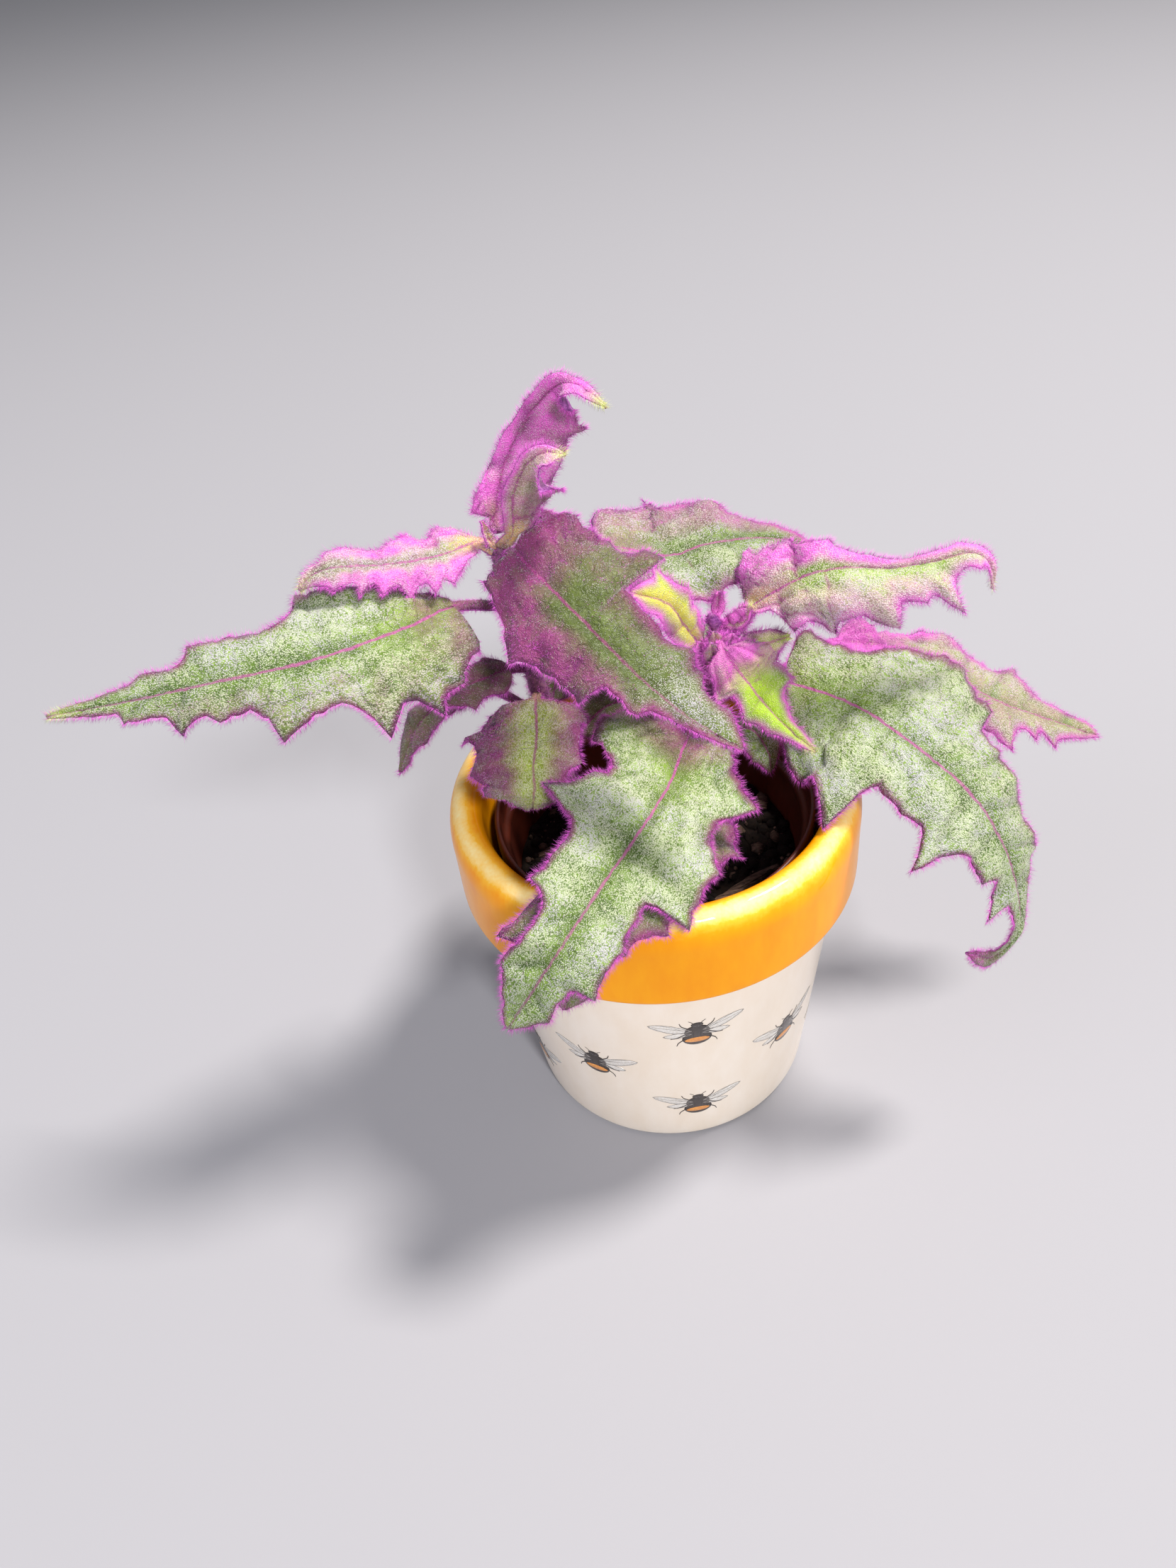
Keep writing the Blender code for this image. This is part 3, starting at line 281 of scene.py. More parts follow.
        rib=[(-18, 11, 117), (-9, 12, 124), (2, 14, 123), (9, 18, 114)],
        face=[(0, -0.5, 0.9), (0, -0.5, 0.9)],
        left=[(0.20, 8), (0.30, 6), (0.50, 9), (0.62, 6), (0.75, 6)],
        right=[(0.20, 8), (0.32, 6), (0.52, 8), (0.65, 5), (0.78, 5)]),
    "leaf_low_right": dict(
        stem="right", height=109, half=8, wave=(0.6, 2), stalk=1.1,
        rib=[(23, 6, 116), (28, 1, 118), (31.5, -1, 112), (32.5, -1.5, 105)],
        face=[(0, -0.6, 0.8), (0.3, -0.8, 0.5), (0.5, -0.9, 0)],
        left=[(0.30, 5), (0.60, 5)],
        right=[(0.30, 5), (0.60, 5)]),
    "leaf_back_left": dict(
        stem="left", height=118, half=14, sweep=(-0.2, 0.5), wave=(1.2, 3),
        rib=[(-24, 20, 122), (-19, 38, 129), (-15, 58, 123), (-12, 74, 106)],
        face=[(0, 0, 1), (0, 0.3, 1), (0, 0.6, 0.8)],
        left=[(0.12, 9), (0.22, 7), (0.34, 13), (0.43, 8), (0.56, 11), (0.64, 6), (0.78, 6.5)],
        right=[(0.16, 10), (0.28, 7), (0.42, 13), (0.52, 8), (0.66, 9), (0.74, 5)]),
    "leaf_back_right": dict(
        stem="right", height=112, half=13, sweep=(-0.2, 0.5), wave=(1.2, 3),
        rib=[(20, 22, 114), (25, 40, 120), (24, 58, 115), (20, 74, 100)],
        face=[(0, 0, 1), (0, 0.3, 1), (0, 0.6, 0.8)],
        left=[(0.14, 9), (0.25, 7), (0.38, 12), (0.47, 7.5), (0.60, 10), (0.70, 5.5)],
        right=[(0.12, 9), (0.20, 7), (0.32, 12), (0.42, 8), (0.55, 10.5), (0.64, 6), (0.78, 5.5)]),
}

# Stems, in millimetres: places each one passes through, and its radius low down and at the tip
STEMS = {
    "left": dict(route=[(-15, 5, 62), (-18, 6, 80), (-24, 8, 112), (-28.5, 9, 148), (-31, 9, 172),
                        (-31.6, 9, 178.5)], radius=(2.7, 1.7)),
    "right": dict(route=[(6, 10, 62), (10, 11, 80), (16, 12.5, 104), (19.5, 12, 130), (20, 10.5, 146)],
                  radius=(2.5, 1.7)),
}


def unit(vectors):
    """Same directions, one long."""
    return vectors / np.linalg.norm(vectors, axis=-1, keepdims=True)


def smooth_route(places, steps=ROUTE_STEPS):
    """Smooth line through the places, with the distance run up to each of its points."""
    places = np.array(places, float)
    places = np.vstack([2 * places[0] - places[1], places, 2 * places[-1] - places[-2]])
    t = np.arange(steps)[:, None] / steps
    line = [b + 0.5 * ((c - a) * t + (2 * a - 5 * b + 4 * c - d) * t ** 2 + (3 * b - a - 3 * c + d) * t ** 3)
            for a, b, c, d in zip(places, places[1:], places[2:], places[3:])]
    line = np.vstack(line + [places[-2:-1]])
    run = np.r_[0, np.cumsum(np.linalg.norm(np.diff(line, axis=0), axis=1))]
    return line, run


def read_at(table, run, place):
    """Rows of a table at places between those it was made for."""
    return np.stack([np.interp(place, run, table[:, k]) for k in range(table.shape[1])], -1)


def stem_at(stem, height):
    """Centre and radius of a stem at a height."""
    line, run = smooth_route(stem["route"])
    share = np.interp(height, line[:, 2], run / run[-1])
    low, high = stem["radius"]
    return read_at(line, run, share * run[-1]), low + (high - low) * share


class LeafSheet:
    """Curved surface of one leaf. Flat places (x along the midrib from the blade's base, y to the left, in mm)
    are carried to points in space."""

    def __init__(self, leaf):
        self.leaf = leaf
        rib = [np.array(p, float) for p in leaf["rib"]]
        centre, radius = stem_at(STEMS[leaf["stem"]], leaf["height"])
        upright = unit(stem_at(STEMS[leaf["stem"]], leaf["height"] + 1)[0] - centre)
        away = unit(rib[0] - centre)
        slant = away @ upright
        clear = radius + leaf["gap"] + leaf["stalk"] * abs(slant)
        foot = centre + away * clear / np.sqrt(1 - slant ** 2)
        self.line, self.run = smooth_route([foot] + rib)
        self.start = self.run[ROUTE_STEPS * (1 + leaf.get("first", 0))]
        self.length = self.run[-1] - self.start
        self.ahead = unit(np.gradient(self.line, self.run, axis=0))
        share = (self.run - self.start) / self.length
        faces = np.array(leaf["face"], float)
        face = read_at(faces, np.linspace(0, 1, len(faces)), share)
        self.face = unit(face - (face * self.ahead).sum(1, keepdims=True) * self.ahead)
        self.left = np.cross(self.face, self.ahead)

    def point(self, x, y):
        """Points in space of flat places: the blade bends away from its midrib and ruffles towards its margin."""
        x, y = np.broadcast_arrays(np.asarray(x, float), np.asarray(y, float))
        place = x + self.start
        beyond = place - np.clip(place, 0, self.run[-1])
        centre = read_at(self.line, self.run, place) + read_at(self.ahead, self.run, place) * beyond[..., None]
        up = read_at(self.face, self.run, place)
        side = read_at(self.left, self.run, place)
        out = np.abs(y) / self.leaf["half"]
        bend = self.leaf["bend"]
        fold, droop, curl = (np.where(y > 0, a, b) for a, b in zip(bend[:3], bend[3:]))
        across = np.zeros(y.shape)
        down = np.zeros(y.shape)
        for i in range(BEND_PARTS):
            part = out * (i + 0.5) / BEND_PARTS
            slope = np.radians(fold + droop * part + 4 * curl * np.clip(part - 0.7, 0, None) ** 2)
            across += np.cos(slope) / BEND_PARTS
            down += np.sin(slope) / BEND_PARTS
        height, count = self.leaf["wave"]
        turn = TURN * (count * x / self.length + np.where(y > 0, 0.2, 0.55))
        ruffle = height * np.clip(out, 0, 1.2) ** 2 * np.sin(turn) * np.clip(x / (0.12 * self.length), 0, 1)
        return centre + side * (y * across)[..., None] - up * (np.abs(y) * down - ruffle)[..., None]

    def margin(self, share, side):
        """Distance from the midrib to the toothed margin."""
        stalk = self.leaf["stalk"]
        marks = [(0.0, stalk)] + self.leaf[side] + [(1.0, 0.4)]
        width = np.full(share.shape, stalk)
        for i, ((a, p), (b, q)) in enumerate(zip(marks, marks[1:])):
            t = np.clip((share - a) / (b - a), 0, 1)
            if i == 0:
                piece = p + (q - p) * np.sin(np.pi / 2 * t) ** 0.9
            elif i == len(marks) - 2:
                piece = q + (p - q) * (1 - t) ** 0.9
            elif q > p:
                piece = p + (q - p) * t ** 1.8
            else:
                piece = q + (p - q) * (1 - t) ** 1.8
            width = np.where((share >= a) & (share <= b), piece, width)
        return width

    def stations(self, count):
        """Shares of the blade at which rows are laid: every tooth and hollow, and even steps between."""
        marks = sorted({0.0, 1.0} | {m[0] for m in self.leaf["left"] + self.leaf["right"]})
        kept = [0.0]
        for mark in marks[1:]:
            if mark - kept[-1] > 0.008:
                kept.append(mark)
        rows = [a + (b - a) * i / n for a, b in zip(kept, kept[1:])
                for n in [max(1, round((b - a) * count))] for i in range(n)]
        return np.array(rows + [1.0])

    def rows(self, count, columns):
        """Flat places of all rows from the stalk's foot to the tip, and the share of the way to the margin."""
        share = self.stations(count)
        near, far = self.leaf["sweep"]
        sweep = (near + (far - near) * np.clip(share / 0.6, 0, 1))[:, None]
        out = np.linspace(-1, 1, 2 * columns + 1)[None]
        y = out * np.where(out > 0, self.margin(share, "left")[:, None], self.margin(share, "right")[:, None])
        x = share[:, None] * self.length + sweep * np.abs(y)
        steps = max(2, round(self.start / self.length * count * 0.5))
        stalk_x = -self.start * (1 - np.arange(steps)[:, None] / steps) + 0 * out
        stalk_y = out * self.leaf["stalk"] + 0 * stalk_x
        return np.vstack([stalk_x, x]), np.vstack([stalk_y, y]), steps


# Small leaves at the growing tips, as in the leaf table, with the same teeth on both sides
TIP_LEAFLETS = [
    dict(PLAIN_LEAF, stem=stem, height=height, half=half, sweep=sweep, wave=wave, stalk=0.9, gap=-2.6, rib=rib,
         face=face, left=teeth, right=teeth)
    for stem, height, half, sweep, wave, teeth, face, rib in [
        ("left", 176.8, 4, (0, 0.3), (0.2, 1), [(0.3, 1.4), (0.6, 1.2)], [(0.5, -0.8, 0.3), (0.6, -0.7, 0.4)],
         [(-32.6, 7.8, 178), (-33.4, 7.6, 181), (-34.0, 7.5, 184.5)]),
        ("right", 145, 6, (0, 0.4), (0.3, 2), [(0.3, 2.2), (0.6, 1.5)], [(0.3, 0.5, 0.5), (0.3, 0.6, 0.3)],
         [(19.4, 7.8, 148), (18.8, 7.0, 150.5), (18.8, 6.4, 152.5)]),
        ("right", 145.4, 6, (0, 0.4), (0.3, 2), [(0.3, 1.8), (0.6, 1.5)], [(-0.5, -0.6, 0.6), (-0.7, -0.5, 0.3)],
         [(22.5, 7, 148.5), (26, 5.2, 150), (28.3, 5.2, 154)]),
        ("right", 144.6, 6, (0, 0.4), (0.3, 2), [(0.3, 2.0), (0.6, 1.5)], [(0, -0.9, 0.3), (0, -0.9, 0.2)],
         [(20.8, 13, 147.5), (21.5, 14.2, 150.5), (21.6, 14.0, 153.5)]),
    ]
]

# Unfolding buds between them: height on the stem, half width, face and rib
BUDS = [
    dict(stem="right", height=height, half=4, sweep=(0, 0.3), wave=(0.3, 2), stalk=0.8, gap=-2.4, rib=rib,
         face=[face, face], bend=(0, 30, 0, 0, 30, 0), left=[(0.3, wide), (0.65, wide * 0.8)],
         right=[(0.3, wide), (0.65, wide * 0.8)])
    for height, wide, face, rib in [
        (139.0, 4.0, (0.3, -0.9, 0.3), [(17.8, 7.5, 139.5), (15.8, 4.5, 141.5), (14.8, 3.0, 146.5)]),
        (134.5, 3.5, (0.2, -0.9, 0.4), [(18.0, 8.0, 135.0), (16.2, 5.0, 136.0), (15.0, 3.5, 140.0)]),
        (143.5, 2.6, (0.0, -0.9, 0.3), [(20.0, 7.0, 143.5), (19.6, 4.0, 145.0), (18.6, 3.0, 149.0)]),
        (145.5, 3.2, (0.0, -0.9, 0.3), [(21.5, 8.0, 146.5), (24.4, 5.5, 149.0), (28.2, 5.0, 153.5)]),
        (141.0, 3.2, (0.1, -0.9, 0.3), [(19.2, 6.0, 141.0), (18.2, 2.5, 142.5), (17.6, 1.0, 147.0)]),
        (137.0, 3.2, (0.0, -0.9, 0.4), [(20.0, 7.5, 137.0), (20.6, 4.5, 138.0), (21.0, 3.0, 142.0)]),
        (140.0, 4.2, (0.1, -0.8, 0.5), [(24.5, 6.5, 140.5), (29.5, 4.0, 142.6), (37.5, 3.0, 145.2)]),
        (142.5, 3.6, (0.1, -0.9, 0.4), [(20.5, 6.5, 142.5), (22.0, 3.5, 143.6), (23.2, 2.6, 148.0)]),
    ]
]


def ripples(points, size, seed):
    """Smooth random swells of about the given size, from about -1 to 1."""
    draw = np.random.default_rng(seed)
    ways = unit(draw.normal(size=(9, 3))) * (TURN / size) * draw.uniform(0.6, 1.4, (9, 1))
    return np.sin(points @ ways.T + draw.uniform(0, TURN, 9)).sum(-1) / 3


def fade(value, low, high):
    """0 below low, 1 above high, smooth between; the other way round when high is the lower."""
    t = np.clip((value - low) / (high - low), 0, 1)
    return t * t * (3 - 2 * t)


def bell(value, width):
    """1 where the value is 0, fading to 0 on both sides over about the width."""
    return np.exp(-(value / width) ** 2)


def tint(code):
    """Linear colour of an sRGB hex code."""
    parts = [int(code[k:k + 2], 16) / 255 for k in (1, 3, 5)]
    return (*[c / 12.92 if c <= 0.04045 else ((c + 0.055) / 1.055) ** 2.4 for c in parts], 1.0)


def add(tree, kind, *inputs, **named):
    """One shader node, and its first output. Names in small letters are settings. Values without a name go to its
    inputs in order, and names with a capital to the inputs so called; each is a value or another node's output."""
    node = tree.nodes.new("ShaderNode" + kind)
    for name, value in named.items():
        if name[0].islower():
            setattr(node, name, value)
    pairs = list(zip([socket for socket in node.inputs if socket.enabled], inputs))
    pairs += [(node.inputs[name], value) for name, value in named.items() if name[0].isupper()]
    for socket, value in pairs:
        if isinstance(value, bpy.types.NodeSocket):
            tree.links.new(value, socket)
        else:
            socket.default_value = value
    return next(socket for socket in node.outputs if socket.enabled)


def blank(name, **values):
    """Material with one Principled shader; each value goes on the shader's own socket."""
    made = bpy.data.materials.new(name)
    made.use_nodes = True
    shader = made.node_tree.nodes["Principled BSDF"]
    for key, value in values.items():
        shader.inputs[key.replace("_", " ")].default_value = value
    return made, made.node_tree, shader


def grains(size):
    """Scale of a noise whose grains are about the given size in millimetres, on coordinates in metres."""
    return 1 / (size * MM * 1.6)


def finish_skin(tree, shader, colour, height, depth):
    """Colour of a surface, and its relief of the given depth in millimetres if it has one."""
    tree.links.new(colour, shader.inputs["Base Color"])
    if depth:
        tree.links.new(add(tree, "Bump", Height=height, Distance=depth * MM), shader.inputs["Normal"])


def place_mesh(bm, name, *surfaces):
    """Object from a bmesh given in millimetres."""
    bmesh.ops.scale(bm, vec=(MM, MM, MM), verts=bm.verts)
    mesh = bpy.data.meshes.new(name)
    bm.to_mesh(mesh)
    bm.free()
    return skinned(mesh, name, *surfaces)


def in_scene(name, content):
    """New object in the scene, at the origin: a mesh, a lamp or the camera."""
    made = bpy.data.objects.new(name, content)
    bpy.context.scene.collection.objects.link(made)
    return made


def skinned(mesh, name, *surfaces):
    """Object of a mesh in metres, with its materials."""
    for surface in surfaces:
        mesh.materials.append(surface)
    mesh.shade_smooth()
    return in_scene(name, mesh)


def settle(piece, slot, *nodes):
    """Every piece rides on the one body, and some stand for nodes."""
    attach(piece, "root")
    if nodes:
        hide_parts(*nodes)


def only(kind, geometry):
    """The corners or the edges among what an operator has made."""
    return [item for item in geometry if isinstance(item, kind)]


def turned(profile, steps):
    """Closed body made by turning a profile about the vertical."""
    bm = bmesh.new()
    spots = [bm.verts.new((r, 0, z)) for r, z in profile]
    edges = [bm.edges.new(pair) for pair in zip(spots, spots[1:])]
    bmesh.ops.spin(bm, geom=spots + edges, cent=(0, 0, 0), axis=(0, 0, 1), angle=TURN, steps=steps,
                   use_merge=True)
    bmesh.ops.remove_doubles(bm, verts=bm.verts, dist=0.001)
    bmesh.ops.recalc_face_normals(bm, faces=bm.faces)
    return bm


def eased(corners, steps):
    """Smooth profile through corners given as (radius, height), with so many steps between two of them."""
    line, _ = smooth_route([(r, 0, z) for r, z in corners], steps)
    return [(max(r, 0.0), z) for r, _, z in line]


# Materials


# What a blade's points carry for its materials, each from 0 to 1
MARKS = ("purple", "lime", "vein", "rib", "shade_in_dips", "felt_and_sheen", "young", "olive_and_shade", "gold")
# Between the feet of the felt's short hairs, in millimetres: real ones stand closer, too fine to show
DOT_SPACING = 0.29


def velvet_upper():
    """Leaf's upper skin: green tissue whose every cell bears a pale hair, so it looks dotted with silver."""
    made, tree, shader = blank("leaf_upper_velvet", Roughness=0.5, Sheen_Weight=0.3, Sheen_Roughness=0.35,
                               Sheen_Tint=tint("#F0E8F2"), Specular_IOR_Level=0.4)
    mark = {name: add(tree, "Attribute", attribute_name=name).node.outputs["Fac"] for name in MARKS}
    flat = add(tree, "UVMap", uv_map="flat")
    body = add(tree, "TexCoord").node.outputs["Object"]
    # greener and yellower patches, and thinner and thicker felt, some 7 mm and 1.6 mm wide
    patches = add(tree, "TexNoise", Vector=body, Scale=grains(7.0), Detail=3.0)
    clouds = add(tree, "TexNoise", Vector=flat, Scale=grains(1.6), Detail=3.0)
    # a net of fine veins, 2 to 3 mm apart, creases the blade, and the creases are darkened as painted shade
    folds = add(tree, "TexNoise", Vector=flat, Scale=grains(2.4), Detail=2.0, Roughness=0.55)
    folds = add(tree, "Math", add(tree, "Math", folds, 0.5, operation="SUBTRACT"), operation="ABSOLUTE")
    folds = add(tree, "MapRange", folds, 0.0, 0.10)
    # painted shade: the green darkens in the dips of the blade's relief
    dip_shades = add(tree, "MapRange", mark["shade_in_dips"], 0.0, 1.0, 0.0, 0.85)
    crease_shade = add(tree, "MapRange", folds, 0.0, 1.0, 0.5, 0.0)
    green = add(tree, "Mix", add(tree, "MapRange", patches, 0.35, 0.65), tint("#547020"), tint("#829C44"),
                data_type="RGBA")
    # on leaves that sit in shade the green turns darker and more olive: partly the tissue's own colour, partly
    # painted shade
    for share, code in ((dip_shades, "#334A12"), (crease_shade, "#2F4716"), (mark["olive_and_shade"], "#454A18"),
                        (mark["lime"], "#9CBE22"), (mark["gold"], "#DDBE5C")):
        green = add(tree, "Mix", share, green, tint(code), data_type="RGBA")
    # purple cells darken the tissue of old leaves and turn young ones pink; in the dips of the relief it darkens
    # further as painted shade
    violet = add(tree, "Mix", mark["young"], tint("#7C3260"), tint("#DB66C4"), data_type="RGBA")
    dip_shades = add(tree, "MapRange", mark["shade_in_dips"], 0.1, 0.9, 0.0, 0.7)
    violet = add(tree, "Mix", dip_shades, violet, tint("#4E1A46"), data_type="RGBA")
    green = add(tree, "Mix", add(tree, "MapRange", mark["purple"], 0.1, 0.85), green, violet, data_type="RGBA")
    # the dots are a little longer than wide, and where the felt is thick, or painted sheen lies on the blade's
    # crests, they grow until they merge
    stretched = add(tree, "Mapping", flat, Scale=(0.75, 1.0, 1.0))
    distance = add(tree, "TexVoronoi", Vector=stretched, Scale=1 / (DOT_SPACING * MM), Randomness=0.85)
    shade = add(tree, "SeparateColor", distance.node.outputs["Color"])
    cover = add(tree, "Math", mark["felt_and_sheen"], add(tree, "MapRange", clouds, 0.3, 0.7, -0.12, 0.12),
                operation="ADD", use_clamp=True)
    reach = add(tree, "MapRange", cover, 0.0, 1.0, 0.26, 0.80)
    inside = add(tree, "Math", reach, distance, operation="SUBTRACT")
    bright = add(tree, "Math", add(tree, "MapRange", inside, 0.0, 0.35),
                 add(tree, "MapRange", shade, 0.0, 1.0, 0.62, 0.85), operation="MULTIPLY")
    silver = add(tree, "Mix", add(tree, "MapRange", patches, 0.4, 0.62), tint("#D6DCBA"), tint("#D4CEDA"),
                 data_type="RGBA")
    pink = add(tree, "Mix", mark["young"], tint("#A85A98"), tint("#F2A0E4"), data_type="RGBA")
    for share, other in ((mark["lime"], tint("#E4EA98")), (mark["purple"], pink)):
        silver = add(tree, "Mix", share, silver, other, data_type="RGBA")
    # the midrib is a line less than a millimetre wide that wavers a little
    waver = add(tree, "MapRange", clouds, 0.2, 0.8, -0.3 * MM, 0.3 * MM)
    across = add(tree, "Math", waver, add(tree, "SeparateXYZ", flat).node.outputs["Y"], operation="ADD")
    across = add(tree, "Math", across, operation="ABSOLUTE")
    rib = add(tree, "Math", add(tree, "MapRange", across, 0.5 * MM, 0.2 * MM), mark["rib"], operation="MULTIPLY")
    midrib = add(tree, "Mix", mark["olive_and_shade"], tint("#B04A92"), tint("#7C2659"), data_type="RGBA")
    veined = add(tree, "MapRange", mark["vein"], 0.35, 0.9, 0.0, 0.85)
    ribbed = add(tree, "MapRange", rib, 0.0, 1.0, 0.0, 0.9)
    colour = green
    for share, other in ((bright, silver), (veined, tint("#AA3C8C")), (ribbed, midrib)):
        colour = add(tree, "Mix", share, colour, other, data_type="RGBA")
    depth = add(tree, "MapRange", mark["young"], 0.0, 1.0, 1.3, 0.3)
    relief = add(tree, "Math", folds, depth, add(tree, "MapRange", distance, 0.6, 0.1), operation="MULTIPLY_ADD")
    finish_skin(tree, shader, colour, relief, 0.17)
    return made


def velvet_under():
    """Leaf's underside: purple felt over pale green, matt and soft."""
    made, tree, shader = blank("leaf_under_velvet", Roughness=0.7, Sheen_Weight=0.5, Sheen_Roughness=0.4,
                               Sheen_Tint=tint("#F0B8F4"), Specular_IOR_Level=0.3)
    lime, vein = (add(tree, "Attribute", attribute_name=name).node.outputs["Fac"] for name in ("lime", "vein"))
    # tufts of felt: single hairs would be too fine to show
    fibres = add(tree, "TexNoise", Vector=add(tree, "UVMap", uv_map="flat"), Scale=grains(0.4), Detail=2.0,
                 Roughness=0.6)
    skin = tint("#7A3480")
    for share, code in ((add(tree, "MapRange", fibres, 0.4, 0.62), "#B868B8"), (lime, "#B89A60"),
                        (add(tree, "MapRange", vein, 0.3, 0.9, 0.0, 0.6), "#C08A9A")):
        skin = add(tree, "Mix", share, skin, tint(code), data_type="RGBA")
    finish_skin(tree, shader, skin, fibres, 0.2)
    return made


def hair(name, code, sheen):
    """Plant hairs: thin translucent cells, soft with a little shine; their colours are lightened as painted light for
    the light that shines through them.
    """
    made, _, _ = blank(name, Base_Color=tint(code), Roughness=0.45, Sheen_Weight=0.3, Sheen_Tint=tint(sheen),
                       Specular_IOR_Level=0.4)
    return made


def pot_glaze():
    """Stoneware with two glazes: cream on the body, honey orange on the collar, thin and pale on its lip. Both
    are glassy, so they show sharp reflections over a soft body colour."""
    made, tree, shader = blank("pot_glaze", Roughness=0.5, Coat_Weight=0.5, Coat_Roughness=0.04,
                               Coat_IOR=1.4, Specular_IOR_Level=0.05)
    body = add(tree, "TexCoord").node.outputs["Object"]
    height = add(tree, "SeparateXYZ", body).node.outputs["Z"]
    # clouds 5 mm wide, drawn out downwards as the glaze ran, and flecks 0.7 mm wide
    runs = add(tree, "Mapping", body, Scale=(1.0, 1.0, 0.35))
    clouds = add(tree, "TexNoise", Vector=runs, Scale=grains(5.0), Detail=4.0, Roughness=0.6)
    flecks = add(tree, "TexNoise", Vector=body, Scale=grains(0.7), Detail=2.0, Roughness=0.6)
    thin = add(tree, "Attribute", attribute_name="lip").node.outputs["Fac"]
    for spread in (add(tree, "MapRange", clouds, 0.3, 0.7, -0.12, 0.12),
                   add(tree, "MapRange", flecks, 0.3, 0.7, -0.08, 0.08)):
        thin = add(tree, "Math", thin, spread, operation="ADD")
    share = add(tree, "MapRange", clouds, 0.35, 0.7)
    honey = tint("#F79A00")
    for share_of, code in ((share, "#FCA800"), (add(tree, "MapRange", thin, 0.15, 0.6), "#FBBF38"),
                           (add(tree, "MapRange", thin, 0.5, 1.1), "#FBEBAE")):
        honey = add(tree, "Mix", share_of, honey, tint(code), data_type="RGBA")
    colour = add(tree, "Mix", share, tint("#F1E2D0"), tint("#F6EADC"), data_type="RGBA")
    # the cream darkens to a thin line where the collar begins
    for low, high, other in ((-1.3, -0.5, tint("#C99A86")), (-0.3, 0.1, honey)):
        share = add(tree, "MapRange", height, (COLLAR_BOTTOM + low) * MM, (COLLAR_BOTTOM + high) * MM)
        colour = add(tree, "Mix", share, colour, other, data_type="RGBA")
    finish_skin(tree, shader, colour, clouds, 0.06)
    return made


def grained(name, first, second, size, span, depth, most=1.0, detail=2.0, fine=0.5, drawn_out=None, **values):
    """Material whose grain, of the given size in millimetres, turns one colour into another between two values of
    its noise, and raises it by the given depth in millimetres. Drawn out, the grain is long and runs askew."""
    made, tree, shader = blank(name, **values)
    body = add(tree, "TexCoord").node.outputs["Object"]
    if drawn_out:
        body = add(tree, "Mapping", body, Rotation=(0, 0, -0.5), Scale=drawn_out)
    grain = add(tree, "TexNoise", Vector=body, Scale=grains(size), Detail=detail, Roughness=fine)
    colour = add(tree, "Mix", add(tree, "MapRange", grain, *span, 0.0, most), first, second, data_type="RGBA")
    finish_skin(tree, shader, colour, grain, depth)
    return made


def print_ink(name, code):
    """Transfer print under the glaze: matt ceramic ink, paler in specks where it lies thin, with a glassy coat."""
    pale = tuple(min(1.0, c * 1.9 + 0.02) for c in tint(code)[:3]) + (1.0,)
    return grained(name, tint(code), pale, 0.35, (0.35, 0.7), 0.0, most=0.5, Roughness=0.3, Coat_Weight=0.5,
                   Coat_Roughness=0.08)


UPPER = velvet_upper()
UNDER = velvet_under()
HAIRS = [hair(name, code, sheen) for name, code, sheen in (
    ("silver_hair", "#CCD2B6", "#FFFFFF"), ("lilac_hair", "#E2ABE0", "#FFFFFF"),
    ("magenta_hair", "#EE6CE0", "#FFC8F4"), ("purple_hair", "#BE48B6", "#F0A8E8"),
    ("lime_hair", "#E2E88C", "#FFFFFF"))]
SILVER, LILAC, MAGENTA, PURPLE, LIME = range(len(HAIRS))
GLAZE = pot_glaze()
# Soft stems: fleshy and purple-brown under their fur, mottled finely
STEM = grained("stem_flesh", tint("#5E2C52"), tint("#8E5A74"), 0.7, (0.35, 0.65), 0.15, detail=3.0, Roughness=0.6,
               Sheen_Weight=0.3, Sheen_Tint=tint("#E2A8EC"))
# Moulded polypropylene: red-brown, darkened as painted shade for the pot's shaded inside, and a little shiny, with
# smears of soil 2 mm wide
PLASTIC = grained("nursery_plastic", tint("#521F12"), tint("#1E130D"), 2.0, (0.5, 0.75), 0.05, most=0.5, detail=4.0,
                  fine=0.7, Roughness=0.38, Specular_IOR_Level=0.5)
# Moist peat: almost black and matt, in crumbs of about 1.2 mm
PEAT = grained("potting_mix", tint("#090605"), tint("#21160F"), 1.2, (0.35, 0.7), 0.6, detail=5.0, fine=0.7,
               Roughness=0.95, Specular_IOR_Level=0.2)
# Splintered bark and twigs: grey-brown, in fibres 0.6 mm thick along their length
BARK_FIBRE = grained("bark_fibre", tint("#2A1D17"), tint("#6E5648"), 0.6, (0.35, 0.68), 0.3, detail=4.0, fine=0.7,
                     drawn_out=(0.25, 1.0, 1.0), Roughness=0.85, Specular_IOR_Level=0.25)
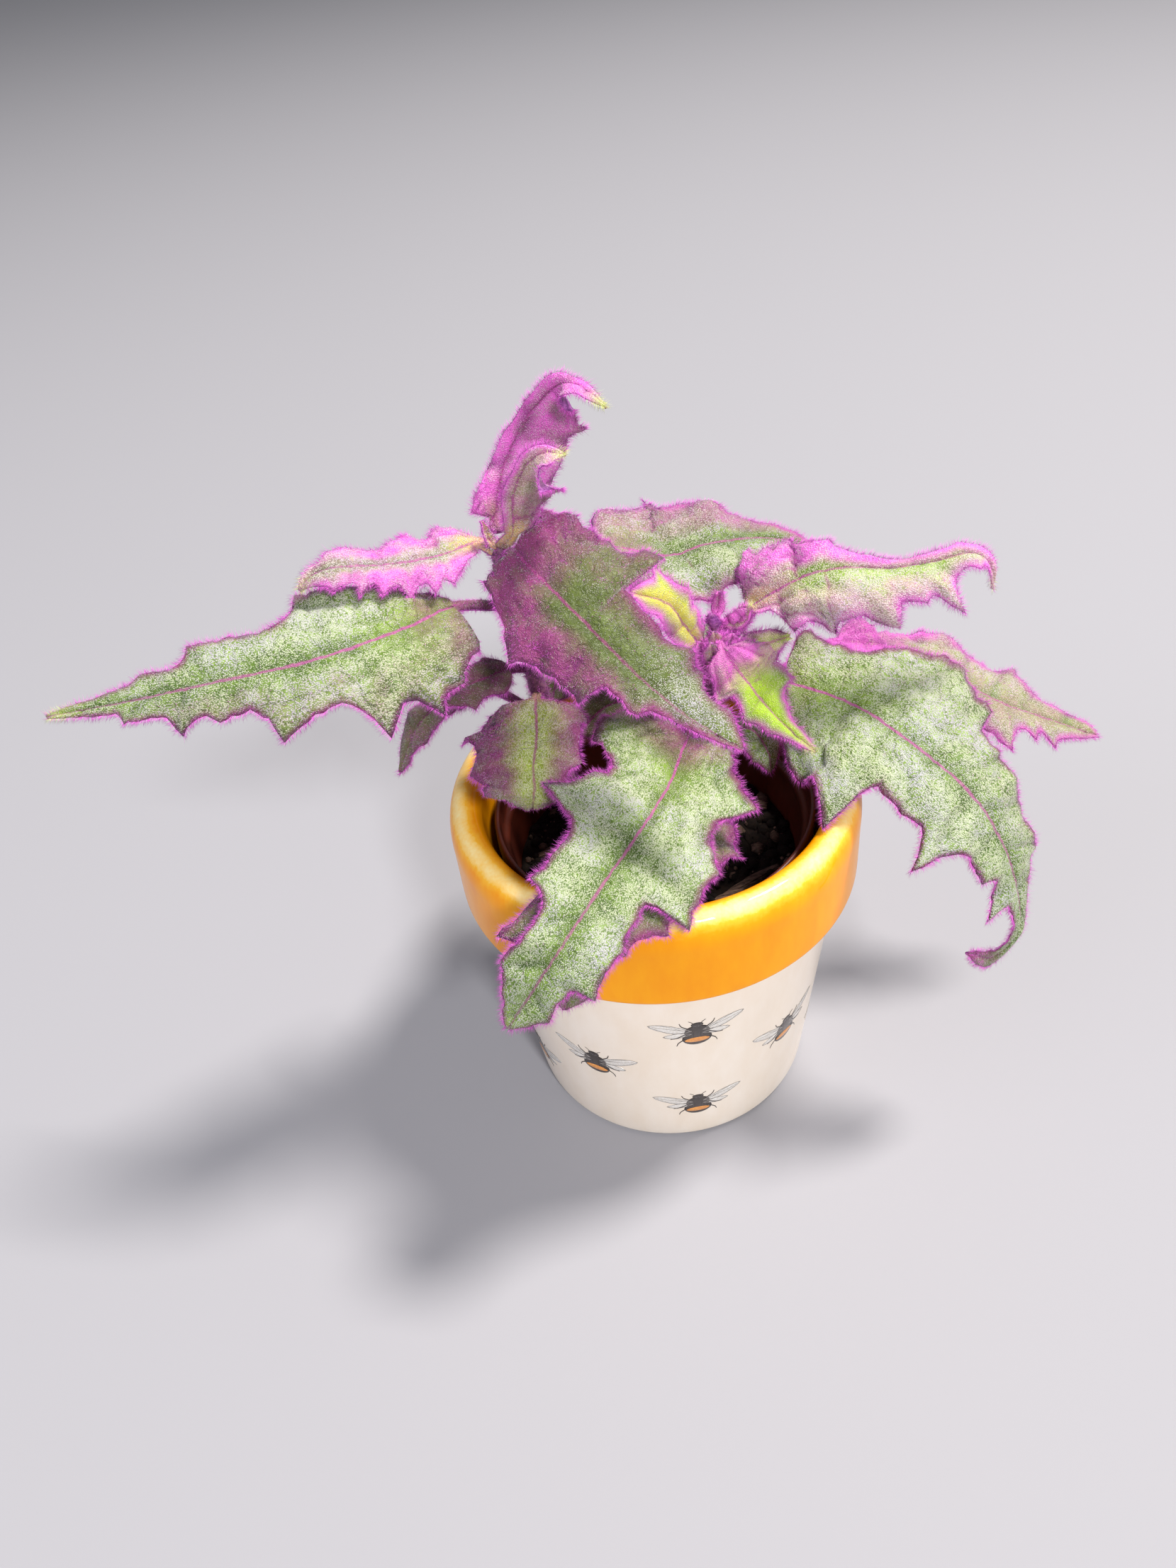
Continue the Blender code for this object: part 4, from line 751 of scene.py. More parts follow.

# How each leaf is coloured: purple at the blade's base and how far it reaches, on each half, all over and on the
# margin's width in mm, and on the tip that hooks over; lime in the middle and at the tip; the share of long magenta
# hairs; how thick the silvery felt is, which painted sheen thickens on the blade's crests, and how much thicker
# towards the tip; how young (pinker) the tissue is, and how much darker and more olive, partly its own colour and
# partly painted shade on leaves that sit in shade; how golden its stalk and base are, and how far that goes on along
# the middle; and how far along the blade the halves' purple runs.
PLAIN_LOOK = dict(base=0.35, reach=0.15, left=0.0, right=0.0, all=0.0, rim=1.1, lime=0.0, tip=0.1, fur=0.1,
                  felt_and_sheen=0.75, young=0.0, olive_and_shade=0.0, gold=0.0, ripe=0.0, side_end=1.0, tip_felt=0.0, hook=0.0)
LOOKS = {
    "leaf_centre": dict(base=0.85, reach=0.32, left=0.25, right=0.85, side_end=0.72, rim=2.2, fur=0.6, felt_and_sheen=0.1,
                        tip_felt=0.65, olive_and_shade=0.7),
    "leaf_long_left": dict(base=0.4, reach=0.2, left=0.2, tip=0.6, felt_and_sheen=0.8),
    "leaf_front": dict(base=0.6, reach=0.16, rim=0.9),
    "leaf_right": dict(base=0.2, reach=0.12, left=0.1, tip=0.0, felt_and_sheen=0.85, rim=0.9, hook=0.8),
    "leaf_left_rim": dict(base=0.2, reach=0.15, left=0.6, right=0.75, lime=0.45, rim=3.5, fur=0.4, felt_and_sheen=1.0,
                          olive_and_shade=0.5, ripe=0.25, gold=0.4),
    "leaf_upper_left": dict(base=0.1, reach=0.1, left=0.85, right=0.75, all=0.25, tip=0.6, rim=2.6, fur=0.8,
                            young=0.9, felt_and_sheen=1.0, gold=0.8, stalk=1.9),
    "leaf_top": dict(base=0.8, reach=0.4, all=0.7, rim=3.0, tip=0.9, fur=0.9, young=1.0, felt_and_sheen=0.8, gold=0.4,
                     stalk=1.7),
    "leaf_top_small": dict(base=0.3, reach=0.3, all=0.45, lime=0.5, tip=0.9, rim=2.0, fur=0.7, young=1.0, felt_and_sheen=1.0,
                           gold=0.9, stalk=1.7),
    "leaf_back_centre": dict(base=0.35, reach=0.3, left=0.4, rim=2.0, felt_and_sheen=0.7, young=0.4, olive_and_shade=0.25),
    "leaf_upper_right": dict(base=0.5, reach=0.3, left=0.8, right=0.35, lime=0.3, tip=0.5, rim=2.6, fur=0.6,
                             young=1.0, felt_and_sheen=1.0, gold=0.6, stalk=2.0),
    "leaf_far_right": dict(base=0.9, reach=0.35, all=0.25, lime=0.2, rim=2.6, fur=0.4, young=0.7, felt_and_sheen=0.75),
    "leaf_young_green": dict(base=0.7, reach=0.42, lime=0.9, tip=0.8, rim=1.2, fur=0.4, young=0.75, felt_and_sheen=0.5),
    "leaf_young_yellow": dict(base=0.7, reach=0.2, lime=0.9, tip=0.2, rim=2.4, fur=0.5, young=1.0, felt_and_sheen=0.5, gold=0.8,
                              ripe=0.8),
    "leaf_under_front": dict(base=0.4, reach=0.2, left=0.3, right=0.4, rim=3.0, felt_and_sheen=0.4, olive_and_shade=0.4),
    "leaf_low_left": dict(base=0.4, reach=0.2, all=0.4, lime=0.2, felt_and_sheen=0.25, olive_and_shade=1.0),
    "leaf_inner_left": dict(base=0.4, reach=0.2, all=0.5, felt_and_sheen=0.3, olive_and_shade=0.7),
    "leaf_inner_back": dict(base=0.4, reach=0.2, all=0.25, felt_and_sheen=0.4, olive_and_shade=0.5),
    "tip_leaflet_1": dict(all=0.35, rim=0.8, fur=1.0, young=1.0, gold=1.0, ripe=1.0),
    "tip_leaflet_2": dict(all=1.0, fur=1.0, young=0.7),
    "tip_leaflet_3": dict(all=0.3, lime=1.0, tip=1.0, fur=1.0, young=1.0),
    "tip_leaflet_4": dict(all=1.0, fur=1.0, young=0.7),
    "bud_1": dict(all=1.0, fur=1.0, young=0.8),
    "bud_2": dict(all=1.0, fur=1.0, young=0.6),
    "bud_3": dict(all=0.5, fur=0.8, young=0.9, gold=0.8, ripe=0.7),
    "bud_4": dict(all=0.9, tip=1.0, fur=1.0, young=1.0),
    "bud_5": dict(all=0.5, fur=0.9, young=0.9, gold=0.7, ripe=0.5),
    "bud_6": dict(all=1.0, fur=1.0, young=0.7),
    "bud_7": dict(all=0.3, lime=0.9, tip=1.0, fur=0.7, young=1.0, gold=0.4),
    "bud_8": dict(all=0.8, fur=1.0, young=0.9),
}


class Blade:
    """Fine version of one leaf: its surface points, upward directions, colour marks and mesh."""

    def __init__(self, name, leaf, spacing=ROW_SPACING, columns=BLADE_COLUMNS):
        self.name = name
        self.seed = sum(map(ord, name))
        self.look = {**PLAIN_LOOK, "stalk": leaf["stalk"], **LOOKS.get(name, {})}
        self.sheet = LeafSheet({"gap": STALK_ROOT, **leaf, "stalk": self.look["stalk"]})
        self.columns = columns
        count = self.sheet.length / spacing
        self.x, self.y, self.stalk_rows = self.sheet.rows(count, columns)
        self.rows = len(self.x)
        self.out = np.linspace(-1, 1, 2 * columns + 1)
        self.share = np.clip(self.x[:, columns] / self.sheet.length, 0, 1)[:, None]
        self.on_blade = 1 - np.clip((self.stalk_rows + 2 - np.arange(self.rows)) / 4.0, 0, 1)[:, None]
        flat = np.stack([self.x, self.y, 0 * self.x], -1)
        # the margin between the teeth isn't quite even
        nibble = NIBBLE_DEPTH * ripples(flat, 4.5, self.seed + 5) * np.clip(np.abs(self.y) / 6, 0, 1)
        self.y = self.y + nibble * np.sign(self.out) * self.out ** 4 * self.on_blade
        self.spots = self.sheet.point(self.x, self.y)
        self.up = self.upward()
        self.veins()
        self.spots = self.spots + self.up * self.relief[..., None]
        self.up = self.upward()
        self.colours()

    def upward(self):
        """Direction that the upper side looks at each point."""
        along = np.gradient(self.spots, axis=0)
        across = np.gradient(self.spots, axis=1)
        return unit(np.cross(along, across))

    def veins(self):
        """Height of the blade's relief in millimetres: side veins and midrib sunk in, swellings between them,
        small puckers, a ruffle towards the margin, and folds that fan out from the stalk. Also where it is veined."""
        half = np.abs(self.y).max(axis=1, keepdims=True)
        count = max(3, round(self.sheet.length / VEIN_SPACING))
        lean = np.where(self.out > 0, 0.0, 0.45)
        phase = self.share * count + lean + 0.12 * ripples(self.spots, 30, self.seed)
        line = np.abs(phase - np.round(phase)) * self.sheet.length / count
        inner = np.clip(np.abs(self.y) / np.maximum(half, 1), 0, 1)
        swell = np.abs(np.sin(np.pi * phase)) ** 0.7 * np.sin(np.pi * np.clip(inner, 0, 1)) ** 0.8
        side_vein = bell(line, VEIN_WIDTH) * fade(inner, 0.95, 0.6)
        midrib = bell(self.y, MIDRIB_WIDTH)
        size = np.clip(half / 15, 0.25, 1)
        pucker = ripples(self.spots, 7, self.seed + 1) * 0.4 + ripples(self.spots, 3.8, self.seed + 2) * 0.28
        ruffle = RUFFLE_HEIGHT * ripples(self.spots, 12, self.seed + 6) * size * inner ** 2
        relief = SWELL_HEIGHT * size * swell + pucker * size * fade(inner, 0.0, 0.25) + ruffle
        spoke = np.arctan2(np.abs(self.y), self.x + FAN_BEHIND) * FAN_RAYS
        spoke = spoke + 0.15 * ripples(self.spots, 20, self.seed + 8)
        near = fade(self.share, 0.6, 0.15) * fade(np.abs(self.y), 0.5, 4)
        fan = np.abs(np.sin(np.pi * spoke)) - 0.5
        relief = relief + FAN_HEIGHT * size * fan * near - VEIN_DEPTH * side_vein - MIDRIB_DEPTH * midrib
        groove = np.abs(spoke - np.round(spoke)) * np.hypot(self.x + FAN_BEHIND, self.y) / FAN_RAYS
        groove = bell(groove, GROOVE_WIDTH) * near
        self.relief = relief * self.on_blade
        pink = 0.35 + 0.5 * self.look["young"] * fade(self.share, 0.75, 0.1)
        self.vein = np.maximum(pink * side_vein, (0.2 + 0.6 * self.look["young"]) * groove)
        self.rib = (1 - 0.5 * self.share) * self.on_blade
        # painted shade: how far the skin darkens in the dips between swells, puckers and fan folds
        self.shade_in_dips = np.clip(0.55 - swell - 0.5 * pucker - 0.7 * fan * near, 0, 1)
        self.swell = swell
        self.ridge = fan * near

    def colours(self):
        """How purple, lime, golden, young, dark and olive (partly painted shade) and felted (with painted sheen on
        the crests) each point is, from 0 to 1.
        """
        look = self.look
        edge = np.where(self.out > 0, np.abs(self.y[:, -1:]), np.abs(self.y[:, :1])) * (1 - np.abs(self.out))
        spread = ripples(self.spots, 9, self.seed + 3) * 0.5 + 0.5
        rim = np.exp(-(edge / (look["rim"] * (1.4 - 0.9 * self.share))) ** 1.2) * (0.75 + 0.35 * spread)
        base = look["base"] * fade(self.share, look["reach"], look["reach"] * 0.25)
        side = np.where(self.out > 0, look["left"], look["right"]) * fade(np.abs(self.out), 0.05, 0.6)
        side = side * fade(self.share, look["side_end"], 0.5 * look["side_end"])
        mottle = 0.25 * ripples(self.spots, 5, self.seed + 4)
        hook = look["hook"] * fade(self.share, 0.84, 0.96)
        whole = np.maximum.reduce([base + 0 * edge, side, look["all"] + 0 * edge, hook + 0 * edge])
        self.purple = np.clip(np.maximum(rim, whole * (1 + mottle)), 0, 1)
        self.purple = np.where(self.on_blade > 0.5, self.purple, np.maximum(self.purple, 0.75))
        tip = look["tip"] * fade(self.share, 0.86, 0.98)
        middle = look["lime"] * fade(np.abs(self.out), 1.0, 0.35) * fade(self.share, 0.0, 0.2)
        near_stalk = fade(self.share, 0.32, 0.08) * (1 - look["olive_and_shade"])
        middle = np.maximum(middle, 0.2 * near_stalk * fade(np.abs(self.out), 0.9, 0.2))
        self.lime = np.clip(np.maximum(tip + 0 * edge, middle * (1 + mottle)), 0, 1)
        self.purple = self.purple * (1 - 0.85 * tip)
        patch = 0.06 * ripples(self.spots, 11, self.seed + 7)
        away = fade(np.abs(self.y), 0.0, 7.0) - 0.6
        felt_and_sheen = look["felt_and_sheen"] + look["tip_felt"] * fade(self.share, 0.4, 0.8) + patch - 0.15 * near_stalk
        # painted sheen: the felt's silver grows on swells and fan ridges, where the crests catch the light
        self.felt_and_sheen = np.clip(felt_and_sheen + 0.18 * (self.swell - 0.6) + 0.3 * self.ridge + 0.25 * away, 0, 1)
        self.felt_and_sheen = self.felt_and_sheen * (1 - (0.75 - 0.4 * look["young"]) * self.purple)
        self.young, self.olive_and_shade = look["young"], look["olive_and_shade"]
        gold_base = look["young"] * fade(self.share, 0.22, 0.0) * fade(np.abs(self.y), 5, 1)
        gold = look["gold"] * np.maximum(gold_base, fade(np.abs(self.out), 0.9, 0.1) * look["ripe"])
        self.gold = np.where(self.on_blade > 0.5, gold, look["gold"])
        self.purple = self.purple * (1 - 0.8 * self.gold)

    def half_thickness(self):
        """Half the blade's thickness, thinner at the margin, and that of the round stalk."""
        blade = BLADE_HALF_THICKNESS * (1 - 0.6 * np.abs(self.out) ** 4)
        stalk = 0.25 + (STALK_HALF_THICKNESS - 0.25) * np.sqrt(1 - self.out ** 2)
        return stalk + (blade - stalk) * self.on_blade

    def build(self):
        """Closed mesh: a grid raised into a slab, then laid over the leaf's two faces."""
        wide, long = 2 * self.columns, self.rows - 1
        bm = bmesh.new()
        bmesh.ops.create_grid(bm, x_segments=wide, y_segments=long, size=1.0)
        raised = bmesh.ops.extrude_face_region(bm, geom=list(bm.faces))["geom"]
        bmesh.ops.translate(bm, verts=only(bmesh.types.BMVert, raised), vec=(0, 0, 1))
        bmesh.ops.recalc_face_normals(bm, faces=bm.faces)
        for face in bm.faces:
            face.material_index = 0 if all(v.co.z > 0.5 for v in face.verts) else 1
        mesh = bpy.data.meshes.new(self.name + "_blade")
        bm.to_mesh(mesh)
        bm.free()
        flat = np.empty(len(mesh.vertices) * 3)
        mesh.vertices.foreach_get("co", flat)
        flat = flat.reshape(-1, 3)
        column = np.rint((1 - flat[:, 0]) / 2 * wide).astype(int)
        row = np.rint((flat[:, 1] + 1) / 2 * long).astype(int)
        above = flat[:, 2] > 0.5
        thick = self.half_thickness()
        keel = KEEL_HEIGHT * bell(self.y, KEEL_WIDTH) * (1 - self.share) * self.on_blade
        upper = self.spots + self.up * thick[..., None]
        lower = self.spots - self.up * (thick + keel)[..., None]
        laid = np.where(above[:, None], upper[row, column], lower[row, column])
        mesh.vertices.foreach_set("co", (laid * MM).ravel())
        for name in MARKS:
            values = np.broadcast_to(getattr(self, name), self.x.shape)[row, column]
            mesh.attributes.new(name, "FLOAT", "POINT").data.foreach_set("value", values.astype(np.float32))
        corners = np.empty(len(mesh.loops), np.int32)
        mesh.loops.foreach_get("vertex_index", corners)
        chart = np.stack([self.x[row, column], self.y[row, column]], -1) * MM
        mesh.uv_layers.new(name="flat").data.foreach_set("uv", chart[corners].ravel())
        mesh.update()
        return skinned(mesh, self.name + "_blade", UPPER, UNDER)

    def area(self):
        """Area of each cell of the blade's grid in square millimetres."""
        along = np.linalg.norm(np.diff(self.spots, axis=0), axis=-1)[:, :-1]
        across = np.linalg.norm(np.diff(self.spots, axis=1), axis=-1)[:-1]
        return along * across

    def scatter(self, count, draw, weight=None):
        """Random places spread evenly over the blade, as fractional row and column."""
        area = self.area() if weight is None else self.area() * weight
        cells = draw.choice(area.size, count, p=area.ravel() / area.sum())
        row, column = np.divmod(cells, area.shape[1])
        return row + draw.random(count), column + draw.random(count)

    def value(self, table, row, column):
        """Value of a table at fractional rows and columns."""
        table = np.broadcast_to(table, self.x.shape + table.shape[2:])
        r, c = np.minimum(row.astype(int), self.rows - 2), np.minimum(column.astype(int), 2 * self.columns - 1)
        a, b = row - r, column - c
        if table.ndim == 3:
            a, b = a[:, None], b[:, None]
        return ((table[r, c] * (1 - a) + table[r + 1, c] * a) * (1 - b)
                + (table[r, c + 1] * (1 - a) + table[r + 1, c + 1] * a) * b)


# Hairs


def spike(rings):
    """Points and triangles of one three-sided spike, 1 mm long and 1 mm wide at its root."""
    bm = bmesh.new()
    bmesh.ops.create_cone(bm, cap_ends=True, segments=3, radius1=0.5, radius2=0.0, depth=1.0)
    for k in range(1, rings):
        everything = bm.verts[:] + bm.edges[:] + bm.faces[:]
        bmesh.ops.bisect_plane(bm, geom=everything, plane_co=(0, 0, k / rings - 0.5), plane_no=(0, 0, 1))
    bmesh.ops.translate(bm, verts=bm.verts, vec=(0, 0, 0.5))
    bmesh.ops.triangulate(bm, faces=bm.faces)
    bmesh.ops.recalc_face_normals(bm, faces=bm.faces)
    return mesh_arrays(bm)


def mesh_arrays(bm):
    """Points, faces and material numbers of a bmesh, which is freed."""
    bm.verts.index_update()
    points = np.array([v.co[:] for v in bm.verts])
    faces = np.array([[v.index for v in f.verts] for f in bm.faces])
    kinds = np.array([f.material_index for f in bm.faces])
    bm.free()
    return points, faces, kinds


STRAIGHT_SPIKE = spike(1)
CURVED_SPIKE = spike(2)


def stamped(name, copies, faces, kinds, *surfaces):
    """One mesh from many copies of a small shape: copies is (count, points, 3) in millimetres."""
    count, size = copies.shape[:2]
    corners = (faces[None] + (np.arange(count) * size)[:, None, None]).reshape(-1)
    mesh = bpy.data.meshes.new(name)
    mesh.vertices.add(count * size)
    mesh.vertices.foreach_set("co", (copies * MM).ravel())
    mesh.loops.add(len(corners))
    mesh.loops.foreach_set("vertex_index", corners.astype(np.int32))
    mesh.polygons.add(len(corners) // 3)
    mesh.polygons.foreach_set("loop_start", np.arange(0, len(corners), 3, dtype=np.int32))
    mesh.polygons.foreach_set("material_index", kinds.astype(np.int32))
    mesh.update(calc_edges=True)
    return skinned(mesh, name, *surfaces)


class Fur:
    """Gathers hairs of one piece, then stamps them all at once."""

    def __init__(self):
        self.groups = []

    def grow(self, shape, roots, ways, lengths, widths, kinds, curl=None):
        """Adds one hair of the shape for each root, pointing its way; curl bends its tip by as much as it says."""
        points, faces, _ = shape
        ways = unit(ways)
        side = unit(np.cross(ways, (0.31, 0.52, 0.8)) + 1e-6)
        other = np.cross(ways, side)
        tall = lengths[:, None] * points[:, 2]
        copies = (roots[:, None] + ways[:, None] * tall[..., None]
                  + side[:, None] * (widths[:, None] * points[:, 0])[..., None]
                  + other[:, None] * (widths[:, None] * points[:, 1])[..., None])
        if curl is not None:
            copies += curl[:, None] * (tall * points[:, 2])[..., None]
        self.groups.append((copies, faces, np.repeat(kinds, len(faces))))

    def build(self, name):
        """One mesh of all the hairs gathered."""
        vertices, corners, kinds, total = [], [], [], 0
        for copies, faces, group_kinds in self.groups:
            count, size = copies.shape[:2]
            vertices.append(copies.reshape(-1, 3))
            corners.append((faces[None] + (total + np.arange(count) * size)[:, None, None]).reshape(-1, 3))
            kinds.append(group_kinds)
            total += count * size
        return stamped(name, np.vstack(vertices)[None], np.vstack(corners), np.concatenate(kinds), *HAIRS)


def hair_kinds(draw, purple, lime, shade):
    """Colour of each hair, by how purple and how lime its root is, and the share of dark ones among the purple: the
    dark purple hairs are partly their own darker colour and partly painted shade, a shaded copy of the magenta ones.
    """
    chance = draw.random(len(purple))
    pale = np.where(draw.random(len(purple)) < 0.15, LILAC, SILVER)
    pale = np.where(draw.random(len(purple)) < lime, LIME, pale)
    strong = np.where(draw.random(len(purple)) < shade, PURPLE, MAGENTA)
    return np.where(chance < purple, strong, pale)


def grow_felt(blade, fur, density, upper, draw):
    """Short hairs all over one face of a leaf."""
    weight = (0.6 + 0.8 * np.maximum(blade.purple, 0.6 * blade.look["fur"]) + 1.5 * (1 - blade.on_blade))[:-1, :-1]
    count = int((blade.area() * weight).sum() * density)
    row, column = blade.scatter(count, draw, weight)
    up = unit(blade.value(blade.up, row, column)) * (1 if upper else -1)
    along = unit(blade.value(np.gradient(blade.spots, axis=0), row, column))
    thick = blade.value(blade.half_thickness(), row, column)
    purple = blade.value(blade.purple, row, column)
    lime = blade.value(blade.lime, row, column)
    roots = blade.value(blade.spots, row, column) + up * (thick - FELT_ROOT_DEPTH)[:, None]
    lean = draw.normal(size=(count, 3)) * 0.35
    ways = up * draw.uniform(0.35, 0.9, (count, 1)) + along * 0.55 + lean
    fur_share = np.maximum(purple * 0.8, blade.look["fur"])
    lengths = draw.uniform(*FELT_LENGTHS, count) + draw.uniform(*FUR_LENGTHS, count) * fur_share
    if not upper:
        purple = np.clip(0.6 + 0.4 * purple, 0, 1)
        lengths = lengths * 1.15
    widths = draw.uniform(*FELT_WIDTHS, count)
    # painted shade: more dark purple hairs under the leaf than on top
    kinds = hair_kinds(draw, purple, lime, 0.15 if upper else 0.6)
    fur.grow(STRAIGHT_SPIKE, roots, ways, lengths, widths, kinds)


def grow_fringe(blade, fur, shape, density, width, draw):
    """Dense hairs standing out from the margin."""
    for column, sign in ((-1, -1), (0, 1)):
        line = blade.spots[:, column]
        run = np.r_[0, np.cumsum(np.linalg.norm(np.diff(line, axis=0), axis=1))]
        count = int(run[-1] * density)
        at = np.sort(draw.uniform(0, run[-1], count))
        roots = read_at(line, run, at)
        along = read_at(unit(np.gradient(line, axis=0)), run, at)
        up = read_at(blade.up[:, column], run, at)
        out = unit(np.cross(along, up)) * sign
        purple = np.interp(at, run, blade.purple[:, column])
        lime = np.interp(at, run, blade.lime[:, column])
        on = np.interp(at, run, blade.on_blade[:, 0])
        spread = draw.normal(size=(count, 3)) * 0.28
        ways = out + up * draw.uniform(-0.45, 0.6, (count, 1)) + along * 0.25 + spread
        lengths = draw.uniform(*FRINGE_LENGTHS, count) * (0.85 + 0.25 * purple) * (0.7 + 0.3 * on)
        curl = along * draw.uniform(0.0, 0.35, (count, 1)) + up * draw.uniform(-0.1, 0.3, (count, 1))
        kinds = hair_kinds(draw, np.clip(purple + 0.25 - 0.8 * lime, 0, 1), lime, 0.25)
        widths = width * draw.uniform(0.8, 1.2, count)
        fur.grow(shape, roots - out * ROOT_DEPTH, ways, lengths, widths, kinds, curl)


def dress_leaf(name, leaf, *nodes, **detail):
    """Fine blade of one leaf, standing for its node if it has one, with its felt and fringe."""
    blade = Blade(name, leaf, **detail)
    piece = blade.build()
    slot = "young_leaf" if blade.look["fur"] >= 0.5 else "hairy_leaf"
    settle(piece, slot, *nodes)
    draw = np.random.default_rng(blade.seed)
    fur = Fur()
    grow_felt(blade, fur, FELT_PER_SQUARE_MM, True, draw)
    grow_felt(blade, fur, FELT_PER_SQUARE_MM * UNDERSIDE_SHARE, False, draw)
    grow_fringe(blade, fur, STRAIGHT_SPIKE, FRINGE_PER_MM, FRINGE_WIDTH, draw)
    grow_fringe(blade, fur, CURVED_SPIKE, CURVED_PER_MM, CURVED_WIDTH, draw)
    settle(fur.build(name + "_hairs"), slot)


# Stems


def tube(route, radii, sides, rings):
    """Round bar along a smooth route with round ends, and its centres, directions and radii."""
    line, run = smooth_route(route)
    places = np.linspace(0, run[-1], rings)
    centres = read_at(line, run, places)
    ahead = unit(np.gradient(centres, axis=0))
    widths = np.interp(places / run[-1], np.linspace(0, 1, len(radii)), radii)
    bm = bmesh.new()
    bmesh.ops.create_circle(bm, segments=sides, radius=1.0)
    loops = [list(bm.verts)]
    edges = list(bm.edges)
    for _ in range(rings - 1):
        grown = bmesh.ops.extrude_edge_only(bm, edges=edges)["geom"]
        edges = only(bmesh.types.BMEdge, grown)
        loops.append(only(bmesh.types.BMVert, grown))
    for loop, centre, way, radius in zip(loops, centres, ahead, widths):
        first = unit(np.cross(way, (0, 1, 0.1)))
        second = np.cross(way, first)
        for vert in loop:
            x, y, _ = unit(np.array(vert.co))
            vert.co = centre + radius * (x * first + y * second)
    bmesh.ops.holes_fill(bm, edges=bm.edges, sides=sides)
    bmesh.ops.recalc_face_normals(bm, faces=bm.faces)
    return bm, centres, ahead, widths


def dress_stem(name, stem, leaf_heights):
    """Fine stem, a little thicker where leaves leave it, with its fur."""
    rings = np.arange(STEM_RINGS)
    radii = np.linspace(*stem["radius"], STEM_RINGS)
    line, run = smooth_route(stem["route"])
    for height in leaf_heights:
        share = np.interp(height, line[:, 2], run / run[-1])
        radii += NODE_SWELLING * bell(np.linspace(0, 1, STEM_RINGS) - share, NODE_SHARE)
    radii[-4:] *= (0.96, 0.85, 0.62, 0.25)
    bm, centres, ahead, widths = tube(stem["route"], radii, STEM_SIDES, STEM_RINGS)
    piece = place_mesh(bm, "stem_" + name + "_skin", STEM)
    settle(piece, "stem_skin", "stem_" + name)
    draw = np.random.default_rng(sum(map(ord, name)))
    at = draw.uniform(BURIED_RINGS, STEM_RINGS - 1, STEM_HAIRS)
    centre, way = read_at(centres, rings, at), read_at(ahead, rings, at)
    radius = np.interp(at, rings, widths)
    outward = unit(np.cross(way, unit(draw.normal(size=(STEM_HAIRS, 3)))))
    kinds = np.where(draw.random(STEM_HAIRS) < 0.45, PURPLE, MAGENTA)
    ways = outward + way * 0.25 + draw.normal(size=(STEM_HAIRS, 3)) * 0.2
    lengths, thick = draw.uniform(*STEM_HAIR_LENGTHS, STEM_HAIRS), draw.uniform(*STEM_HAIR_WIDTHS, STEM_HAIRS)
    curl = way * draw.uniform(-0.2, 0.3, (STEM_HAIRS, 1))
    fur = Fur()
    roots = centre + outward * (radius - ROOT_DEPTH)[:, None]
    fur.grow(CURVED_SPIKE, roots, ways, lengths, thick, kinds, curl)
    settle(fur.build("stem_" + name + "_hairs"), "stem_skin")


# Pots


def body_radius(z):
    """Outer radius of the pot's cream body."""
    return FOOT_RADIUS + (BODY_TOP_RADIUS - FOOT_RADIUS) * (z - 3.0) / (COLLAR_BOTTOM - 4.2)


def dress_pot():
    """Cover pot turned from its profile, which starts and ends on its axis. Its glaze is thin on the lip."""
    lip = COLLAR_RADIUS
    foot = eased([(FOOT_RADIUS - 3.0, 0), (FOOT_RADIUS - 1.4, 0.25), (FOOT_RADIUS - 0.4, 1.2),
                  (FOOT_RADIUS, 3.0)], 4)
    wall = [(body_radius(z), z) for z in np.linspace(9, COLLAR_BOTTOM - 7, 9)]
    under = eased([(BODY_TOP_RADIUS, COLLAR_BOTTOM - 1.2), (BODY_TOP_RADIUS + 0.4, COLLAR_BOTTOM - 0.4),
                   (BODY_TOP_RADIUS + 1.2, COLLAR_BOTTOM)], 4)
    edge = eased([(lip - 1.4, COLLAR_BOTTOM), (lip - 0.5, COLLAR_BOTTOM + 0.4), (lip - 0.1, COLLAR_BOTTOM + 1.4),
                  (lip, COLLAR_BOTTOM + 4)], 4)
    crown = eased([(lip, 96), (lip, 101), (lip - 0.8, 104.6), (lip - 2.6, 107.2), (lip - 5.0, POT_HEIGHT),
                   (lip - 7.4, 107), (lip - 8.8, 104.8), (lip - 9.3, 102), (46.4, 96)], 7)
    inside = [(46.0, 88), (44.5, 70), (42.4, 45), (40.4, 22)]
    hollow = eased([(39.4, POT_FLOOR + 2.5), (38.6, POT_FLOOR + 0.8), (36.5, POT_FLOOR)], 4)
    middle = [(18, POT_FLOOR), (0, POT_FLOOR)]
    bm = turned([(0, 0), (20, 0)] + foot + wall + under + edge + crown + inside + hollow + middle, POT_STEPS)
    layer = bm.verts.layers.float.new("lip")
    for vert in bm.verts:
        radius = np.hypot(vert.co.x, vert.co.y)
        away = np.hypot(radius - (lip - THIN_INSET), vert.co.z - THIN_HEIGHT)
        vert[layer] = float(THIN_MOST * bell(away, THIN_REACH))
    settle(place_mesh(bm, "pot_glazed", GLAZE), "pot_glaze", "pot")


